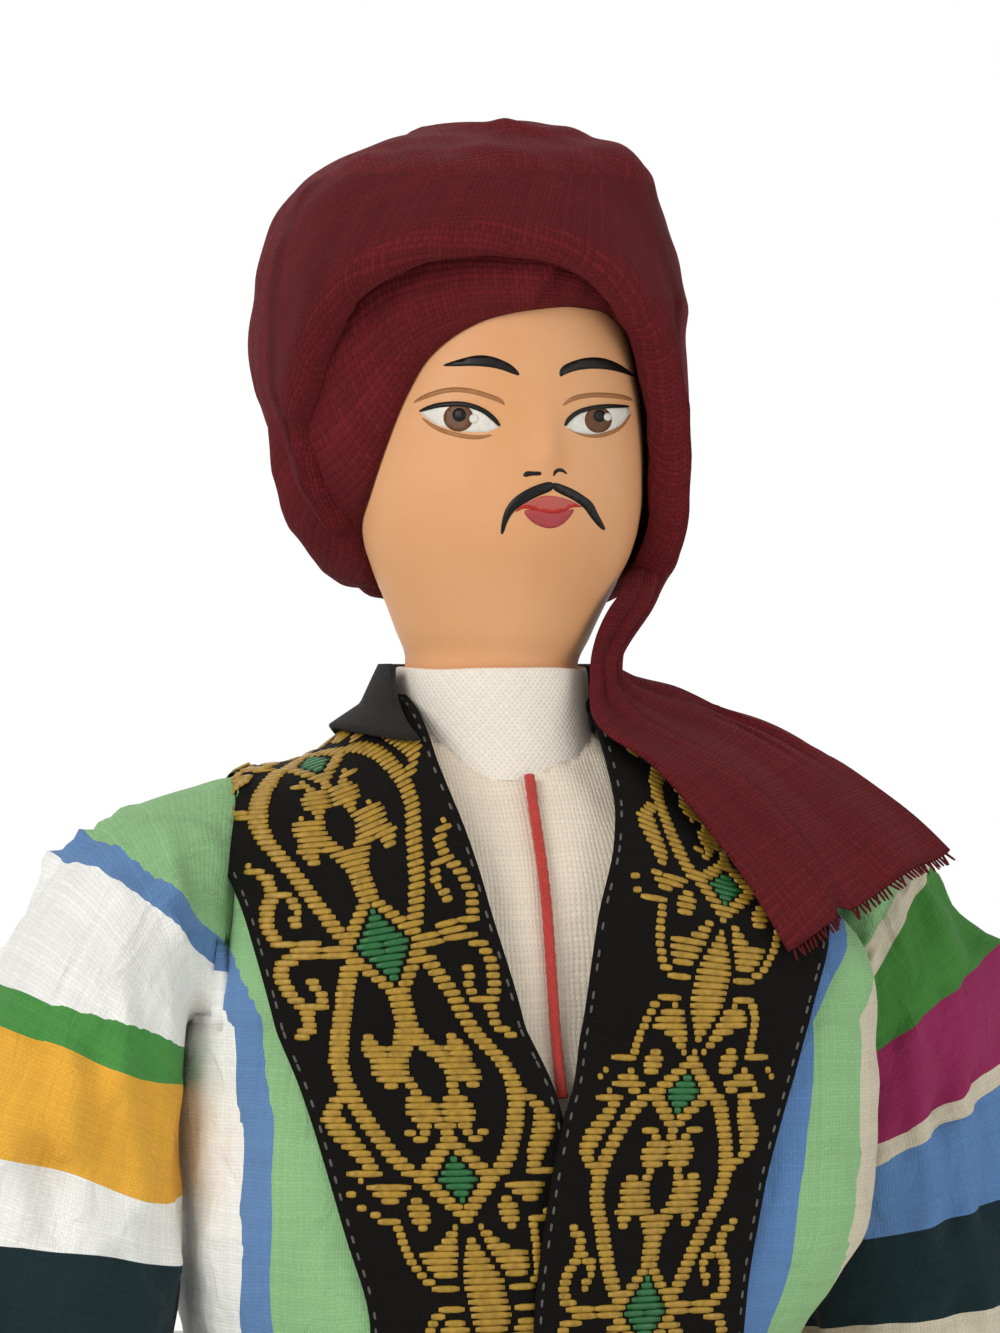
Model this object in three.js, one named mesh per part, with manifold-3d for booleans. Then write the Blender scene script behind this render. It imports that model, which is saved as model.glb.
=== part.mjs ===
// A folk costume doll about 300 mm tall: a turned wooden head under a wound woollen turban, a white
// shirt with a stand collar, and a long striped robe faced with two wide woven braids. Underneath are
// a turned torso, two leg dowels, carved boots and a turned base. The head turns on a neck dowel, and
// each arm swings on the end of a wire that runs through both shoulders.
//
// Millimetres. +Z is up, the doll faces -Y, and its own left hand is at +X.
import * as THREE from "three";
import { mergeVertices } from "three/addons/utils/BufferGeometryUtils.js";
import Module from "manifold-3d";

const wasm = await Module();
wasm.setup();

// Gaps between pieces that touch
const WOOD_GAP = 0.35;
const CLOTH_GAP = 0.3;
const SWING_GAP = 0.35;

// Turned base, which the doll stands on
const BASE_RADIUS = 46;
const BASE_HEIGHT = 10;
const BASE_STEP = 3;
const PEG_DEPTH = 7;

// Heights above the soles
const HEM_HEIGHT = 56;
const WAIST_HEIGHT = 147;
const SHOULDER_HEIGHT = 208;
const COLLAR_RISE = 28.5;
const COLLAR_TOP = SHOULDER_HEIGHT + COLLAR_RISE;

// Legs and boots
const LEG_RADIUS = 4.5;
const LEG_SPREAD = 11.5;
const SOLE_THICKNESS = 2;
const SOLE_WELT = 0.7;
const BOOT_HEIGHT = 74;
const BOOT_LENGTH = 37;
const BOOT_HALF_WIDTH = 6.4;
const BOOT_TOP_RADIUS = 9.4;
const BOOT_ROUNDNESS = 2.15;
const TROUSER_RADIUS = 10.2;

// Torso, whose shoulder bosses end just inside the robe's sides
const TORSO_BOTTOM = 119;
const LEG_SOCKET_DEPTH = 14;
const BOSS_RADIUS = 8;
const ROBE_SIDE = 37.6;
const BOSS_END = ROBE_SIDE - 1;
const WIRE_RADIUS = 1;
const WIRE_END = ROBE_SIDE + 6.6;
const WIRE_HOLE_END = WIRE_END + 1.9;
const NECK_DOWEL_RADIUS = 4;
const NECK_SOCKET_WEB = 2.5;

// Clothes
const ROBE_THICKNESS = 1.4;
const SHIRT_THICKNESS = 1;
const BRAID_THICKNESS = 0.8;
const BRAID_WIDTH = 26;
const SASH_THICKNESS = 1.8;
const SASH_WIDTH = 13;
const SASH_TAIL_LENGTH = 36;
const SASH_TAIL_WIDTH = 9;
const SASH_TAIL_THICKNESS = 1.2;
const KNOT_X = 4;
const KNOT_RADII = [6, 4.2, 5.2];
const SKIRT_FOLDS = 7;
const FOLD_DEPTH = 1.5;
const SKIRT_ROUNDNESS = 2.3;
const CHEST_ROUNDNESS = 2.9;
const YOKE_RADIUS = 15;
const ARMHOLE_RADIUS = BOSS_RADIUS + 2.4;
const NECK_HOLE_RADIUS = 16.4;
const PIPING_RADIUS = 0.6;

// Collars
const COLLAR_HEIGHT = 13;
const COLLAR_THICKNESS = 0.9;
const COLLAR_FLARE = 1.9;
const COLLAR_FOOT = COLLAR_TOP - COLLAR_HEIGHT;
const BAND_THICKNESS = 0.9;
const BAND_SLANT = 36;
const BAND_FOOT = SHOULDER_HEIGHT + 17.5;

// Arms
const ARM_RADIUS = 6;
const WRIST_RADIUS = 4.6;
const ARM_LENGTH = 78;
const ARM_START = ROBE_SIDE + 8.9;
const ARM_LEAN = 16.3;
const BARREL_LENGTH = 8.4;
const SLEEVE_LENGTH = 74;
const SLEEVE_DEPTH = 14.2;
const CUFF_DEPTH = 12;
const CUFF_WALL = 1.5;
const PLEAT_DEPTH = 0.45;
const PLEAT_SPACING = 23;
const HAND_LENGTH = 21;
const HAND_WIDTH = 9.5;
const HAND_THICKNESS = 5.2;

// Head and turban, measured from the top of the shirt's collar
const HEAD_LEAN = 2.5;
const NECK_RADIUS = 10.15;
const NECK_DROP = 12.5;
const NECK_TAPER = 0.8;
const HEAD_HEIGHT = 56.5;
const HEAD_RADIUS = 17;
const HEAD_WIDEST = 21;
const HEAD_SOCKET_DEPTH = 26;
const NOSE_RISE = 0.9;
const INNER_WRAP_THICKNESS = 1;
const INNER_WRAP_TOP = 49;
const TURBAN_TOP = 63.5;
const TURBAN_MIDDLE = 39.5;
const TURBAN_HALF_WIDTH = 25.3;
const TURBAN_HALF_DEPTH = 27;
const TURBAN_SHIFT = new THREE.Vector2(-3, 5);
const ROLL_HEIGHT = 5;
const ROLL_OVERLAP = 1.4;
const STRAND_END = 0.9;
const TAIL_THICKNESS = 1.2;

// How finely round things are cut
const BASE_SIDES = 32;
const BODY_SIDES = 28;
const YOKE_SIDES = 18;
const HEAD_SIDES = 26;
const WRAP_SIDES = 30;
const SLEEVE_SIDES = 22;
const DOWEL_SIDES = 14;
const HOLE_SIDES = 18;
const BOOT_SIDES = 16;
const BRAID_STEPS = 9;

// Wide enough for a cutter to pass right through the doll
const CUTTER_SIZE = 200;

const radians = THREE.MathUtils.degToRad;
const lerp = THREE.MathUtils.lerp;

// Shapes as closed solids

/** The manifold solid of a closed three.js geometry. */
function solid(geometry) {
  const bare = geometry.clone();
  for (const name of Object.keys(bare.attributes)) {
    if (name !== "position") bare.deleteAttribute(name);
  }
  const merged = mergeVertices(bare, 1e-4);
  return new wasm.Manifold(
    new wasm.Mesh({
      numProp: 3,
      vertProperties: new Float32Array(merged.attributes.position.array),
      triVerts: new Uint32Array(merged.index.array),
    }),
  );
}

/** The three.js geometry of a manifold solid. */
function geometryOf(made) {
  const mesh = made.getMesh();
  const positions = new Float32Array(mesh.numVert * 3);
  for (let i = 0; i < mesh.numVert; i++) {
    positions.set(mesh.vertProperties.subarray(i * mesh.numProp, i * mesh.numProp + 3), i * 3);
  }
  const geometry = new THREE.BufferGeometry();
  geometry.setAttribute("position", new THREE.BufferAttribute(positions, 3));
  geometry.setIndex(new THREE.BufferAttribute(new Uint32Array(mesh.triVerts), 1));
  geometry.computeVertexNormals();
  return geometry;
}

/** A closed body through rings of points, each ring counterclockwise seen from the last ring's side. */
function loft(rings) {
  const sides = rings[0].length;
  const positions = [];
  const index = [];
  for (const ring of rings) {
    for (const p of ring) positions.push(p.x, p.y, p.z);
  }
  for (let i = 0; i < rings.length - 1; i++) {
    for (let j = 0; j < sides; j++) {
      const a = i * sides + j;
      const b = i * sides + ((j + 1) % sides);
      index.push(a, b, b + sides, a, b + sides, a + sides);
    }
  }
  const capStart = rings.length * sides;
  for (const ring of [rings[0], rings[rings.length - 1]]) {
    const middle = ring.reduce((sum, p) => sum.add(p), new THREE.Vector3()).divideScalar(sides);
    positions.push(middle.x, middle.y, middle.z);
  }
  const lastRow = (rings.length - 1) * sides;
  for (let j = 0; j < sides; j++) {
    const next = (j + 1) % sides;
    index.push(capStart, next, j);
    index.push(capStart + 1, lastRow + j, lastRow + next);
  }
  const geometry = new THREE.BufferGeometry();
  geometry.setAttribute("position", new THREE.Float32BufferAttribute(positions, 3));
  geometry.setIndex(index);
  return geometry;
}

/** A turned body about +Z from [radius, height] points, bottom first. */
function turned(points, sides = HEAD_SIDES) {
  const profile = [
    new THREE.Vector2(0, points[0][1]),
    ...points.map(([r, h]) => new THREE.Vector2(r, h)),
    new THREE.Vector2(0, points[points.length - 1][1]),
  ];
  return solid(new THREE.LatheGeometry(profile, sides).rotateX(Math.PI / 2));
}

/** A round rod between two points. */
function rod(from, to, radiusFrom, radiusTo = radiusFrom, sides = DOWEL_SIDES) {
  const axis = new THREE.Vector3().subVectors(to, from);
  const geometry = new THREE.CylinderGeometry(radiusTo, radiusFrom, axis.length(), sides);
  const turn = new THREE.Quaternion().setFromUnitVectors(
    new THREE.Vector3(0, 1, 0),
    axis.clone().normalize(),
  );
  geometry.applyQuaternion(turn);
  geometry.translate(...from.clone().add(to).multiplyScalar(0.5).toArray());
  return solid(geometry);
}

/** A flat outline in the X-Z plane, carried along Y between two depths. */
function prism(outline, from, to) {
  const shape = new THREE.Shape(outline);
  const geometry = new THREE.ExtrudeGeometry(shape, { depth: to - from, bevelEnabled: false });
  geometry.rotateX(Math.PI / 2);
  geometry.translate(0, to, 0);
  return solid(geometry);
}

/** A slab between two heights, wide enough to cut the whole figure. */
function slab(low, high) {
  const geometry = new THREE.BoxGeometry(CUTTER_SIZE, CUTTER_SIZE, high - low);
  geometry.translate(0, 0, (low + high) / 2);
  return solid(geometry);
}

/** A round-ended peg between two points, such as a finger. */
function peg(from, to, radiusFrom, radiusTo, sides = 6) {
  const length = from.distanceTo(to);
  const profile = [
    new THREE.Vector2(0, 0),
    new THREE.Vector2(radiusFrom, 0),
    new THREE.Vector2(radiusTo, length - radiusTo * 0.7),
    new THREE.Vector2(radiusTo * 0.7, length - radiusTo * 0.15),
    new THREE.Vector2(0, length),
  ];
  const geometry = new THREE.LatheGeometry(profile, sides);
  const axis = new THREE.Vector3().subVectors(to, from).normalize();
  geometry.applyQuaternion(
    new THREE.Quaternion().setFromUnitVectors(new THREE.Vector3(0, 1, 0), axis),
  );
  geometry.translate(...from.toArray());
  return solid(geometry);
}

/** A flattened ball. */
function ball(centre, radii, sides = 14) {
  const geometry = new THREE.SphereGeometry(1, sides, Math.round(sides * 0.6));
  geometry.scale(...radii);
  geometry.translate(...centre);
  return solid(geometry);
}

/** Values between table rows [at, a, b, ...], eased so that the curve has no corners at the rows. */
function between(rows, at) {
  const last = rows.length - 1;
  if (at <= rows[0][0]) return rows[0].slice(1);
  if (at >= rows[last][0]) return rows[last].slice(1);
  let k = 0;
  while (at > rows[k + 1][0]) k++;
  const [a, b] = [rows[k], rows[k + 1]];
  const before = rows[Math.max(0, k - 1)];
  const after = rows[Math.min(last, k + 2)];
  const span = b[0] - a[0];
  const t = (at - a[0]) / span;
  return a.slice(1).map((start, i) => {
    const end = b[i + 1];
    const slopeStart = ((end - before[i + 1]) / (b[0] - before[0])) * span;
    const slopeEnd = ((after[i + 1] - start) / (after[0] - a[0])) * span;
    const t2 = t * t;
    const t3 = t2 * t;
    return (
      (2 * t3 - 3 * t2 + 1) * start +
      (t3 - 2 * t2 + t) * slopeStart +
      (3 * t2 - 2 * t3) * end +
      (t3 - t2) * slopeEnd
    );
  });
}

/** A value that goes round the head, from [azimuth, value] rows; azimuth 0 is the front. */
function around(rows, azimuth) {
  let k = 0;
  while (k < rows.length - 2 && azimuth > rows[k + 1][0]) k++;
  const [a, b] = [rows[k], rows[k + 1]];
  const t = THREE.MathUtils.clamp((azimuth - a[0]) / (b[0] - a[0]), 0, 1);
  return lerp(a[1], b[1], t);
}

/** A rounded-square ring of points at one height. */
function ovalRing(height, halfWidth, front, back, sides, roundness, centre = [0, 0]) {
  const ring = [];
  for (let j = 0; j < sides; j++) {
    const angle = (2 * Math.PI * j) / sides;
    const c = Math.cos(angle);
    const s = Math.sin(angle);
    const depth = s < 0 ? front : back;
    ring.push(
      new THREE.Vector3(
        centre[0] + halfWidth * Math.sign(c) * Math.abs(c) ** (2 / roundness),
        centre[1] + depth * Math.sign(s) * Math.abs(s) ** (2 / roundness),
        height,
      ),
    );
  }
  return ring;
}

// The clothed body: every garment is a slice between two sizes of this one form

const BODY_ROWS = [
  // height, half width, front, back
  [HEM_HEIGHT, 46, 39, 34],
  [lerp(HEM_HEIGHT, WAIST_HEIGHT, 0.5), 41.8, 34.2, 30.1],
  [WAIST_HEIGHT - SASH_WIDTH / 2 - 0.5, 36.2, 28.7, 25.4],
  [WAIST_HEIGHT + SASH_WIDTH / 2 + 0.5, 35.8, 28.1, 24.7],
  [WAIST_HEIGHT + 17, ROBE_SIDE - 0.3, 28, 24.8],
  [SHOULDER_HEIGHT - 20, ROBE_SIDE, 26.6, 24],
  [SHOULDER_HEIGHT - 6, ROBE_SIDE, 24, 22],
  [SHOULDER_HEIGHT + 4, ROBE_SIDE - 1.2, 21, 19],
  [SHOULDER_HEIGHT + 11, ROBE_SIDE - 5, 17.9, 16.5],
  [SHOULDER_HEIGHT + 15.5, ROBE_SIDE - 12, 15.5, 14.5],
];

/** How far the skirt's hanging folds push the cloth out at an angle and height. */
function skirtFold(angle, height) {
  const drop = THREE.MathUtils.clamp((WAIST_HEIGHT - height) / (WAIST_HEIGHT - HEM_HEIGHT), 0, 1);
  const front = Math.max(0, -Math.sin(angle)) ** 2;
  return FOLD_DEPTH * drop * (1 - 0.8 * front) * Math.sin(SKIRT_FOLDS * angle + 0.6);
}

const NECK_FORM = [
  [19, SHOULDER_HEIGHT + 4],
  [18.6, SHOULDER_HEIGHT + 13],
  [18, BAND_FOOT],
  [16.4, SHOULDER_HEIGHT + 20.5],
];

/** The clothes' rise towards the neck, grown by an amount. */
function neckForm(grow) {
  const rows = NECK_FORM.map(([r, h]) => [r + grow, h]);
  rows[rows.length - 1][1] += grow / 2;
  return turned(rows, YOKE_SIDES);
}

/** How far forward the clothed body comes at a height, on its middle line. */
function frontAt(height) {
  const [, front] = between(BODY_ROWS, height);
  if (height < NECK_FORM[0][1]) return front;
  const neckRows = NECK_FORM.map(([r, h]) => [h, r]);
  return Math.max(front, between(neckRows, height)[0]);
}

/** The body below the shoulders, grown by an amount, which may be negative, down to a height. */
function trunkForm(grow, lowest = HEM_HEIGHT) {
  const rings = BODY_ROWS.map(([level, halfWidth, front, back], i) => {
    const height = i === 0 ? lowest : level;
    const [wide, before, behind] = [halfWidth + grow, front + grow, back + grow];
    const roundness = level > WAIST_HEIGHT ? CHEST_ROUNDNESS : SKIRT_ROUNDNESS;
    const ring = ovalRing(height, wide, before, behind, BODY_SIDES, roundness);
    for (const p of ring) {
      const push = 1 + skirtFold(Math.atan2(p.y, p.x), level) / Math.hypot(p.x, p.y);
      p.x *= push;
      p.y *= push;
    }
    return ring;
  });
  const top = rings[rings.length - 1];
  for (const p of top) p.z += grow;
  return solid(loft(rings));
}

/** The whole clothed body: trunk, shoulder yoke and the rise to the neck. */
function bodyForm(grow, lowest = HEM_HEIGHT) {
  const yoke = new THREE.LatheGeometry(
    [
      new THREE.Vector2(0, -ROBE_SIDE - grow),
      new THREE.Vector2(YOKE_RADIUS + grow, -ROBE_SIDE - grow),
      new THREE.Vector2(YOKE_RADIUS + 2 + grow, -ROBE_SIDE * 0.65),
      new THREE.Vector2(YOKE_RADIUS + 2.6 + grow, 0),
      new THREE.Vector2(YOKE_RADIUS + 2 + grow, ROBE_SIDE * 0.65),
      new THREE.Vector2(YOKE_RADIUS + grow, ROBE_SIDE + grow),
      new THREE.Vector2(0, ROBE_SIDE + grow),
    ],
    YOKE_SIDES,
  );
  yoke.rotateZ(-Math.PI / 2);
  yoke.translate(0, 0, SHOULDER_HEIGHT);
  return trunkForm(grow, lowest).add(solid(yoke)).add(neckForm(grow));
}

/** The front edges of the robe, seen from the front, as the middle line of each braid. */
function braidLine(side) {
  const lean = side < 0 ? 0 : 0.5;
  const stations = [
    [24.6, SHOULDER_HEIGHT + 22],
    [22.7, SHOULDER_HEIGHT + 15],
    [18.6, SHOULDER_HEIGHT - 5],
    [14.2, SHOULDER_HEIGHT - 23],
    [10.2 - lean, WAIST_HEIGHT + 12],
    [9.6 - lean, WAIST_HEIGHT - 12],
    [9.6 - lean, HEM_HEIGHT + 20],
    [9.6 - lean, HEM_HEIGHT - 1],
  ];
  const points = stations.map(([x, h]) => new THREE.Vector2(side * x, h));
  return new THREE.SplineCurve(points);
}

/** A braid's outline along its line, widened on each edge. */
function stripOutline(line, widen = 0) {
  const left = [];
  const right = [];
  for (let i = 0; i <= BRAID_STEPS; i++) {
    const p = line.getPoint(i / BRAID_STEPS);
    const along = line.getTangent(i / BRAID_STEPS);
    const across = new THREE.Vector2(-along.y, along.x).multiplyScalar(BRAID_WIDTH / 2 + widen);
    left.push(p.clone().add(across));
    right.push(p.clone().sub(across));
  }
  return [...left, ...right.reverse()];
}

const OPENING_FOOT = WAIST_HEIGHT + 34;

/** The wedge between the two front edges where the shirt shows. */
function openingOutline() {
  const edges = [-1, 1].map((side) => {
    const line = braidLine(side);
    const edge = [];
    for (let i = 0; i <= BRAID_STEPS; i++) {
      const p = line.getPoint(i / BRAID_STEPS);
      const along = line.getTangent(i / BRAID_STEPS);
      const inward = new THREE.Vector2(-along.y, along.x).multiplyScalar(
        side * -(BRAID_WIDTH / 2 - 1),
      );
      p.add(inward);
      if (p.y > WAIST_HEIGHT + 26) edge.push(p);
    }
    return edge;
  });
  const [right, left] = edges;
  const foot = new THREE.Vector2(0, OPENING_FOOT);
  const usableRight = right.filter((p) => p.x < -0.6 && p.y > foot.y);
  const usableLeft = left.filter((p) => p.x > 0.6 && p.y > foot.y);
  return [...usableRight, foot, ...usableLeft.reverse()];
}

// Parts that stand still

const BRAID_GROW = CLOTH_GAP + BRAID_THICKNESS;
const SHIRT_GROW = -ROBE_THICKNESS - CLOTH_GAP;
const PADDING_GROW = SHIRT_GROW - SHIRT_THICKNESS - 2 * CLOTH_GAP;
const SASH_GROW = BRAID_GROW + CLOTH_GAP + SASH_THICKNESS;
const FRONT = -60;
const BRAID_BACK = 9;
// The neck's axis leans, and crosses the middle of the collar at the collar's top
const HEAD_AXIS = new THREE.Vector3(Math.sin(radians(HEAD_LEAN)), 0, Math.cos(radians(HEAD_LEAN)));
const NECK_PIVOT = new THREE.Vector3(0, 0, COLLAR_TOP).addScaledVector(HEAD_AXIS, -NECK_DROP);

/** A point on the leaning neck axis, at a distance above the bottom of the neck. */
function onNeckAxis(distance) {
  return NECK_PIVOT.clone().addScaledVector(HEAD_AXIS, distance);
}

/** The leg dowel, or its hole, from the base up into the torso. */
function legDowel(side, grow = 0) {
  const x = side * LEG_SPREAD;
  return rod(
    new THREE.Vector3(x, 0, -PEG_DEPTH - grow),
    new THREE.Vector3(x, 0, TORSO_BOTTOM + LEG_SOCKET_DEPTH + grow),
    LEG_RADIUS + grow,
  );
}

function baseDisc() {
  const edge = BASE_HEIGHT / 4;
  const disc = turned(
    [
      [BASE_RADIUS - 0.8, -BASE_HEIGHT],
      [BASE_RADIUS, -BASE_HEIGHT + 0.8],
      [BASE_RADIUS, -BASE_HEIGHT + edge],
      [BASE_RADIUS - BASE_STEP * 0.3, -BASE_HEIGHT + edge * 2],
      [BASE_RADIUS - BASE_STEP, -BASE_HEIGHT + edge * 2.6],
      [BASE_RADIUS - BASE_STEP * 1.15, -edge * 0.9],
      [BASE_RADIUS - BASE_STEP * 1.4, -edge * 0.25],
      [BASE_RADIUS - BASE_STEP * 1.9, 0],
    ],
    BASE_SIDES,
  );
  return disc.subtract(legDowel(-1, WOOD_GAP)).subtract(legDowel(1, WOOD_GAP));
}

/** A boot's outline at one height: [height, toe, heel, half width], relative to the leg. */
function bootRows() {
  const heel = BOOT_LENGTH * 0.27;
  const toe = BOOT_LENGTH - heel;
  const low = SOLE_THICKNESS + CLOTH_GAP;
  return [
    [low, toe - 1.2, heel, BOOT_HALF_WIDTH],
    [low + 2.5, toe, heel + 0.3, BOOT_HALF_WIDTH + 0.5],
    [low + 5.5, toe - 1.5, heel, BOOT_HALF_WIDTH + 0.3],
    [low + 8.5, toe - 6.5, heel - 0.4, BOOT_HALF_WIDTH],
    [low + 11.5, toe - 13.5, heel - 0.8, BOOT_HALF_WIDTH - 0.1],
    [low + 15, toe - 18, heel - 1.2, BOOT_HALF_WIDTH],
    [low + 20, toe - 18.8, heel - 1.4, BOOT_HALF_WIDTH + 0.3],
    [low + 34, BOOT_TOP_RADIUS - 1.4, BOOT_TOP_RADIUS - 1.2, BOOT_TOP_RADIUS - 1.3],
    [BOOT_HEIGHT - 3, BOOT_TOP_RADIUS, BOOT_TOP_RADIUS, BOOT_TOP_RADIUS - 0.1],
    [BOOT_HEIGHT, BOOT_TOP_RADIUS + 0.3, BOOT_TOP_RADIUS + 0.3, BOOT_TOP_RADIUS + 0.2],
  ];
}

function boot(side) {
  const rings = bootRows().map(([height, toe, heel, halfWidth]) =>
    ovalRing(height, halfWidth, toe, heel, BOOT_SIDES, BOOT_ROUNDNESS, [side * LEG_SPREAD, 0]),
  );
  return solid(loft(rings)).subtract(legDowel(side, WOOD_GAP));
}

function bootSole(side) {
  const [, toe, heel, halfWidth] = bootRows()[0];
  const outline = (height, grow) =>
    ovalRing(
      height,
      halfWidth + grow,
      toe + grow,
      heel + grow,
      BOOT_SIDES,
      BOOT_ROUNDNESS,
      [side * LEG_SPREAD, 0],
    );
  const rings = [
    outline(CLOTH_GAP, SOLE_WELT - 0.3),
    outline(SOLE_THICKNESS * 0.6, SOLE_WELT),
    outline(SOLE_THICKNESS, SOLE_WELT - 0.1),
  ];
  return solid(loft(rings)).subtract(legDowel(side, WOOD_GAP));
}

/** The trousers: a leg on each dowel, joined below the torso. */
function trousers() {
  const low = BOOT_HEIGHT + CLOTH_GAP;
  const high = TORSO_BOTTOM - CLOTH_GAP;
  const fork = high - 12;
  const rings = (side) =>
    [
      [low, TROUSER_RADIUS - 1.6],
      [low + 2, TROUSER_RADIUS - 0.6],
      [low + 9, TROUSER_RADIUS],
      [fork, TROUSER_RADIUS + 0.6],
      [high, TROUSER_RADIUS + 1.2],
    ].map(([height, r]) => ovalRing(height, r, r, r, 16, 2, [side * LEG_SPREAD, 0]));
  const seat = [fork, high].map((height) =>
    ovalRing(height, LEG_SPREAD + TROUSER_RADIUS, TROUSER_RADIUS, TROUSER_RADIUS, 20, 2.6),
  );
  return solid(loft(rings(-1)))
    .add(solid(loft(rings(1))))
    .add(solid(loft(seat)))
    .subtract(legDowel(-1, WOOD_GAP))
    .subtract(legDowel(1, WOOD_GAP));
}

// The neck's foot is square to the leaning axis, so the torso's flat top stops below its lowest edge
const TORSO_TOP = NECK_PIVOT.z - NECK_RADIUS * HEAD_AXIS.x - WOOD_GAP;
const TORSO_ROWS = [
  // height, half width, half depth
  [TORSO_BOTTOM, 22.5, 15],
  [WAIST_HEIGHT, 20, 14],
  [SHOULDER_HEIGHT - 30, 22.5, 15.5],
  [SHOULDER_HEIGHT - 6, 27, 15],
  [SHOULDER_HEIGHT + 5, 23, 12.5],
  [SHOULDER_HEIGHT + 10, 13, 10.5],
  [TORSO_TOP, 11, 10.2],
];

/** The turned wooden torso without its holes, grown by an amount. */
function torsoForm(grow) {
  const rings = TORSO_ROWS.map(([height, halfWidth, depth], i) => {
    const lift = i === 0 ? -grow : i === TORSO_ROWS.length - 1 ? grow : 0;
    return ovalRing(height + lift, halfWidth + grow, depth + grow, depth + grow, 24, 2.2);
  });
  const boss = rod(
    new THREE.Vector3(-BOSS_END - grow, 0, SHOULDER_HEIGHT),
    new THREE.Vector3(BOSS_END + grow, 0, SHOULDER_HEIGHT),
    BOSS_RADIUS + grow,
    BOSS_RADIUS + grow,
    20,
  );
  return solid(loft(rings)).add(boss);
}

/** The wire through both shoulders, or its hole. */
function shoulderWire(grow, reach) {
  return rod(
    new THREE.Vector3(-reach, 0, SHOULDER_HEIGHT),
    new THREE.Vector3(reach, 0, SHOULDER_HEIGHT),
    WIRE_RADIUS + grow,
    WIRE_RADIUS + grow,
    12,
  );
}

/** The dowel that joins neck and torso, or its hole, which stops above the shoulder wire's hole. */
function neckDowel(grow) {
  const wireHoleTop = SHOULDER_HEIGHT + WIRE_RADIUS + WOOD_GAP;
  const socketDepth = NECK_PIVOT.z - wireHoleTop - NECK_SOCKET_WEB - WOOD_GAP;
  return rod(
    onNeckAxis(-socketDepth - grow),
    onNeckAxis(HEAD_SOCKET_DEPTH + grow),
    NECK_DOWEL_RADIUS + grow,
  );
}

function torsoCore() {
  return torsoForm(0)
    .subtract(legDowel(-1, WOOD_GAP))
    .subtract(legDowel(1, WOOD_GAP))
    .subtract(neckDowel(WOOD_GAP))
    .subtract(shoulderWire(WOOD_GAP, WIRE_HOLE_END));
}

/** Round holes at both ends of the shoulders. */
function armholes(radius) {
  return rod(
    new THREE.Vector3(-ROBE_SIDE - 5, 0, SHOULDER_HEIGHT),
    new THREE.Vector3(ROBE_SIDE + 5, 0, SHOULDER_HEIGHT),
    radius,
    radius,
    HOLE_SIDES,
  );
}

const SHIRT_TOP = COLLAR_FOOT - CLOTH_GAP;

/** Wadding between the torso and the shirt, up to the arms. */
function torsoPadding() {
  return trunkForm(PADDING_GROW)
    .intersect(slab(TORSO_BOTTOM + 6, SHOULDER_HEIGHT - BOSS_RADIUS - 4))
    .subtract(torsoForm(WOOD_GAP));
}

function shirtBody() {
  const shape = (grow) => trunkForm(grow).add(neckForm(grow));
  return shape(SHIRT_GROW)
    .subtract(shape(SHIRT_GROW - SHIRT_THICKNESS))
    .subtract(armholes(ARMHOLE_RADIUS))
    .intersect(slab(WAIST_HEIGHT - 20, SHIRT_TOP));
}

/** The space inside the collar's outer face, from its foot to a height above its top. */
function collarForm(radius, rise = 0) {
  return turned([
    [radius + COLLAR_FLARE, COLLAR_FOOT - rise],
    [radius + COLLAR_FLARE, COLLAR_FOOT],
    [radius + COLLAR_FLARE * 0.5, COLLAR_FOOT + COLLAR_HEIGHT * 0.35],
    [radius, COLLAR_FOOT + COLLAR_HEIGHT * 0.8],
    [radius, COLLAR_TOP + rise],
  ]);
}

const COLLAR_RADIUS = NECK_RADIUS + WOOD_GAP;

function shirtCollar() {
  return collarForm(COLLAR_RADIUS + COLLAR_THICKNESS)
    .intersect(slab(COLLAR_FOOT, COLLAR_TOP))
    .subtract(collarForm(COLLAR_RADIUS, 1));
}

/** The red cord down the middle of the shirt. */
function placketPiping() {
  const points = [];
  for (let i = 0; i <= 6; i++) {
    const height = lerp(SHIRT_TOP - 0.8, OPENING_FOOT + 5, i / 6);
    const y = -(frontAt(height) + SHIRT_GROW + CLOTH_GAP + PIPING_RADIUS);
    points.push(new THREE.Vector3(0.2, y, height));
  }
  const path = new THREE.CatmullRomCurve3(points);
  const section = new THREE.Shape();
  section.absarc(0, 0, PIPING_RADIUS, 0, Math.PI * 2);
  const cord = new THREE.ExtrudeGeometry(section, {
    extrudePath: path,
    steps: 12,
    curveSegments: 4,
    bevelEnabled: false,
  });
  const underRobe = bodyForm(PIPING_RADIUS).subtract(openingPrism(-CLOTH_GAP));
  return solid(cord).subtract(underRobe);
}

/** The round hole in the robe that the neck comes through, as a cutter. */
function neckHole(widen) {
  const radius = NECK_HOLE_RADIUS + widen;
  return turned([
    [radius, SHOULDER_HEIGHT + 9],
    [radius, COLLAR_TOP + 5],
  ]);
}

/** The V of the robe's neck, as a cutter. */
function openingPrism(widen) {
  const outline = openingOutline().map((p) => new THREE.Vector2(p.x + Math.sign(p.x) * widen, p.y));
  return prism(outline, FRONT, 2);
}

function robeBody() {
  const hollow = bodyForm(-ROBE_THICKNESS, HEM_HEIGHT - 10);
  return bodyForm(0)
    .subtract(hollow)
    .subtract(armholes(ARMHOLE_RADIUS))
    .subtract(openingPrism(0))
    .subtract(neckHole(0));
}

/** One woven braid down the front edge, over the shoulder to just behind the ridge. */
function frontBraid(side) {
  const layer = bodyForm(BRAID_GROW).subtract(bodyForm(CLOTH_GAP));
  const strip = prism(stripOutline(braidLine(side)), FRONT, BRAID_BACK);
  const made = layer.intersect(strip).subtract(neckHole(0.4));
  if (side > 0) return made;
  return made.subtract(prism(stripOutline(braidLine(1), CLOTH_GAP), FRONT, 2));
}

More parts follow.
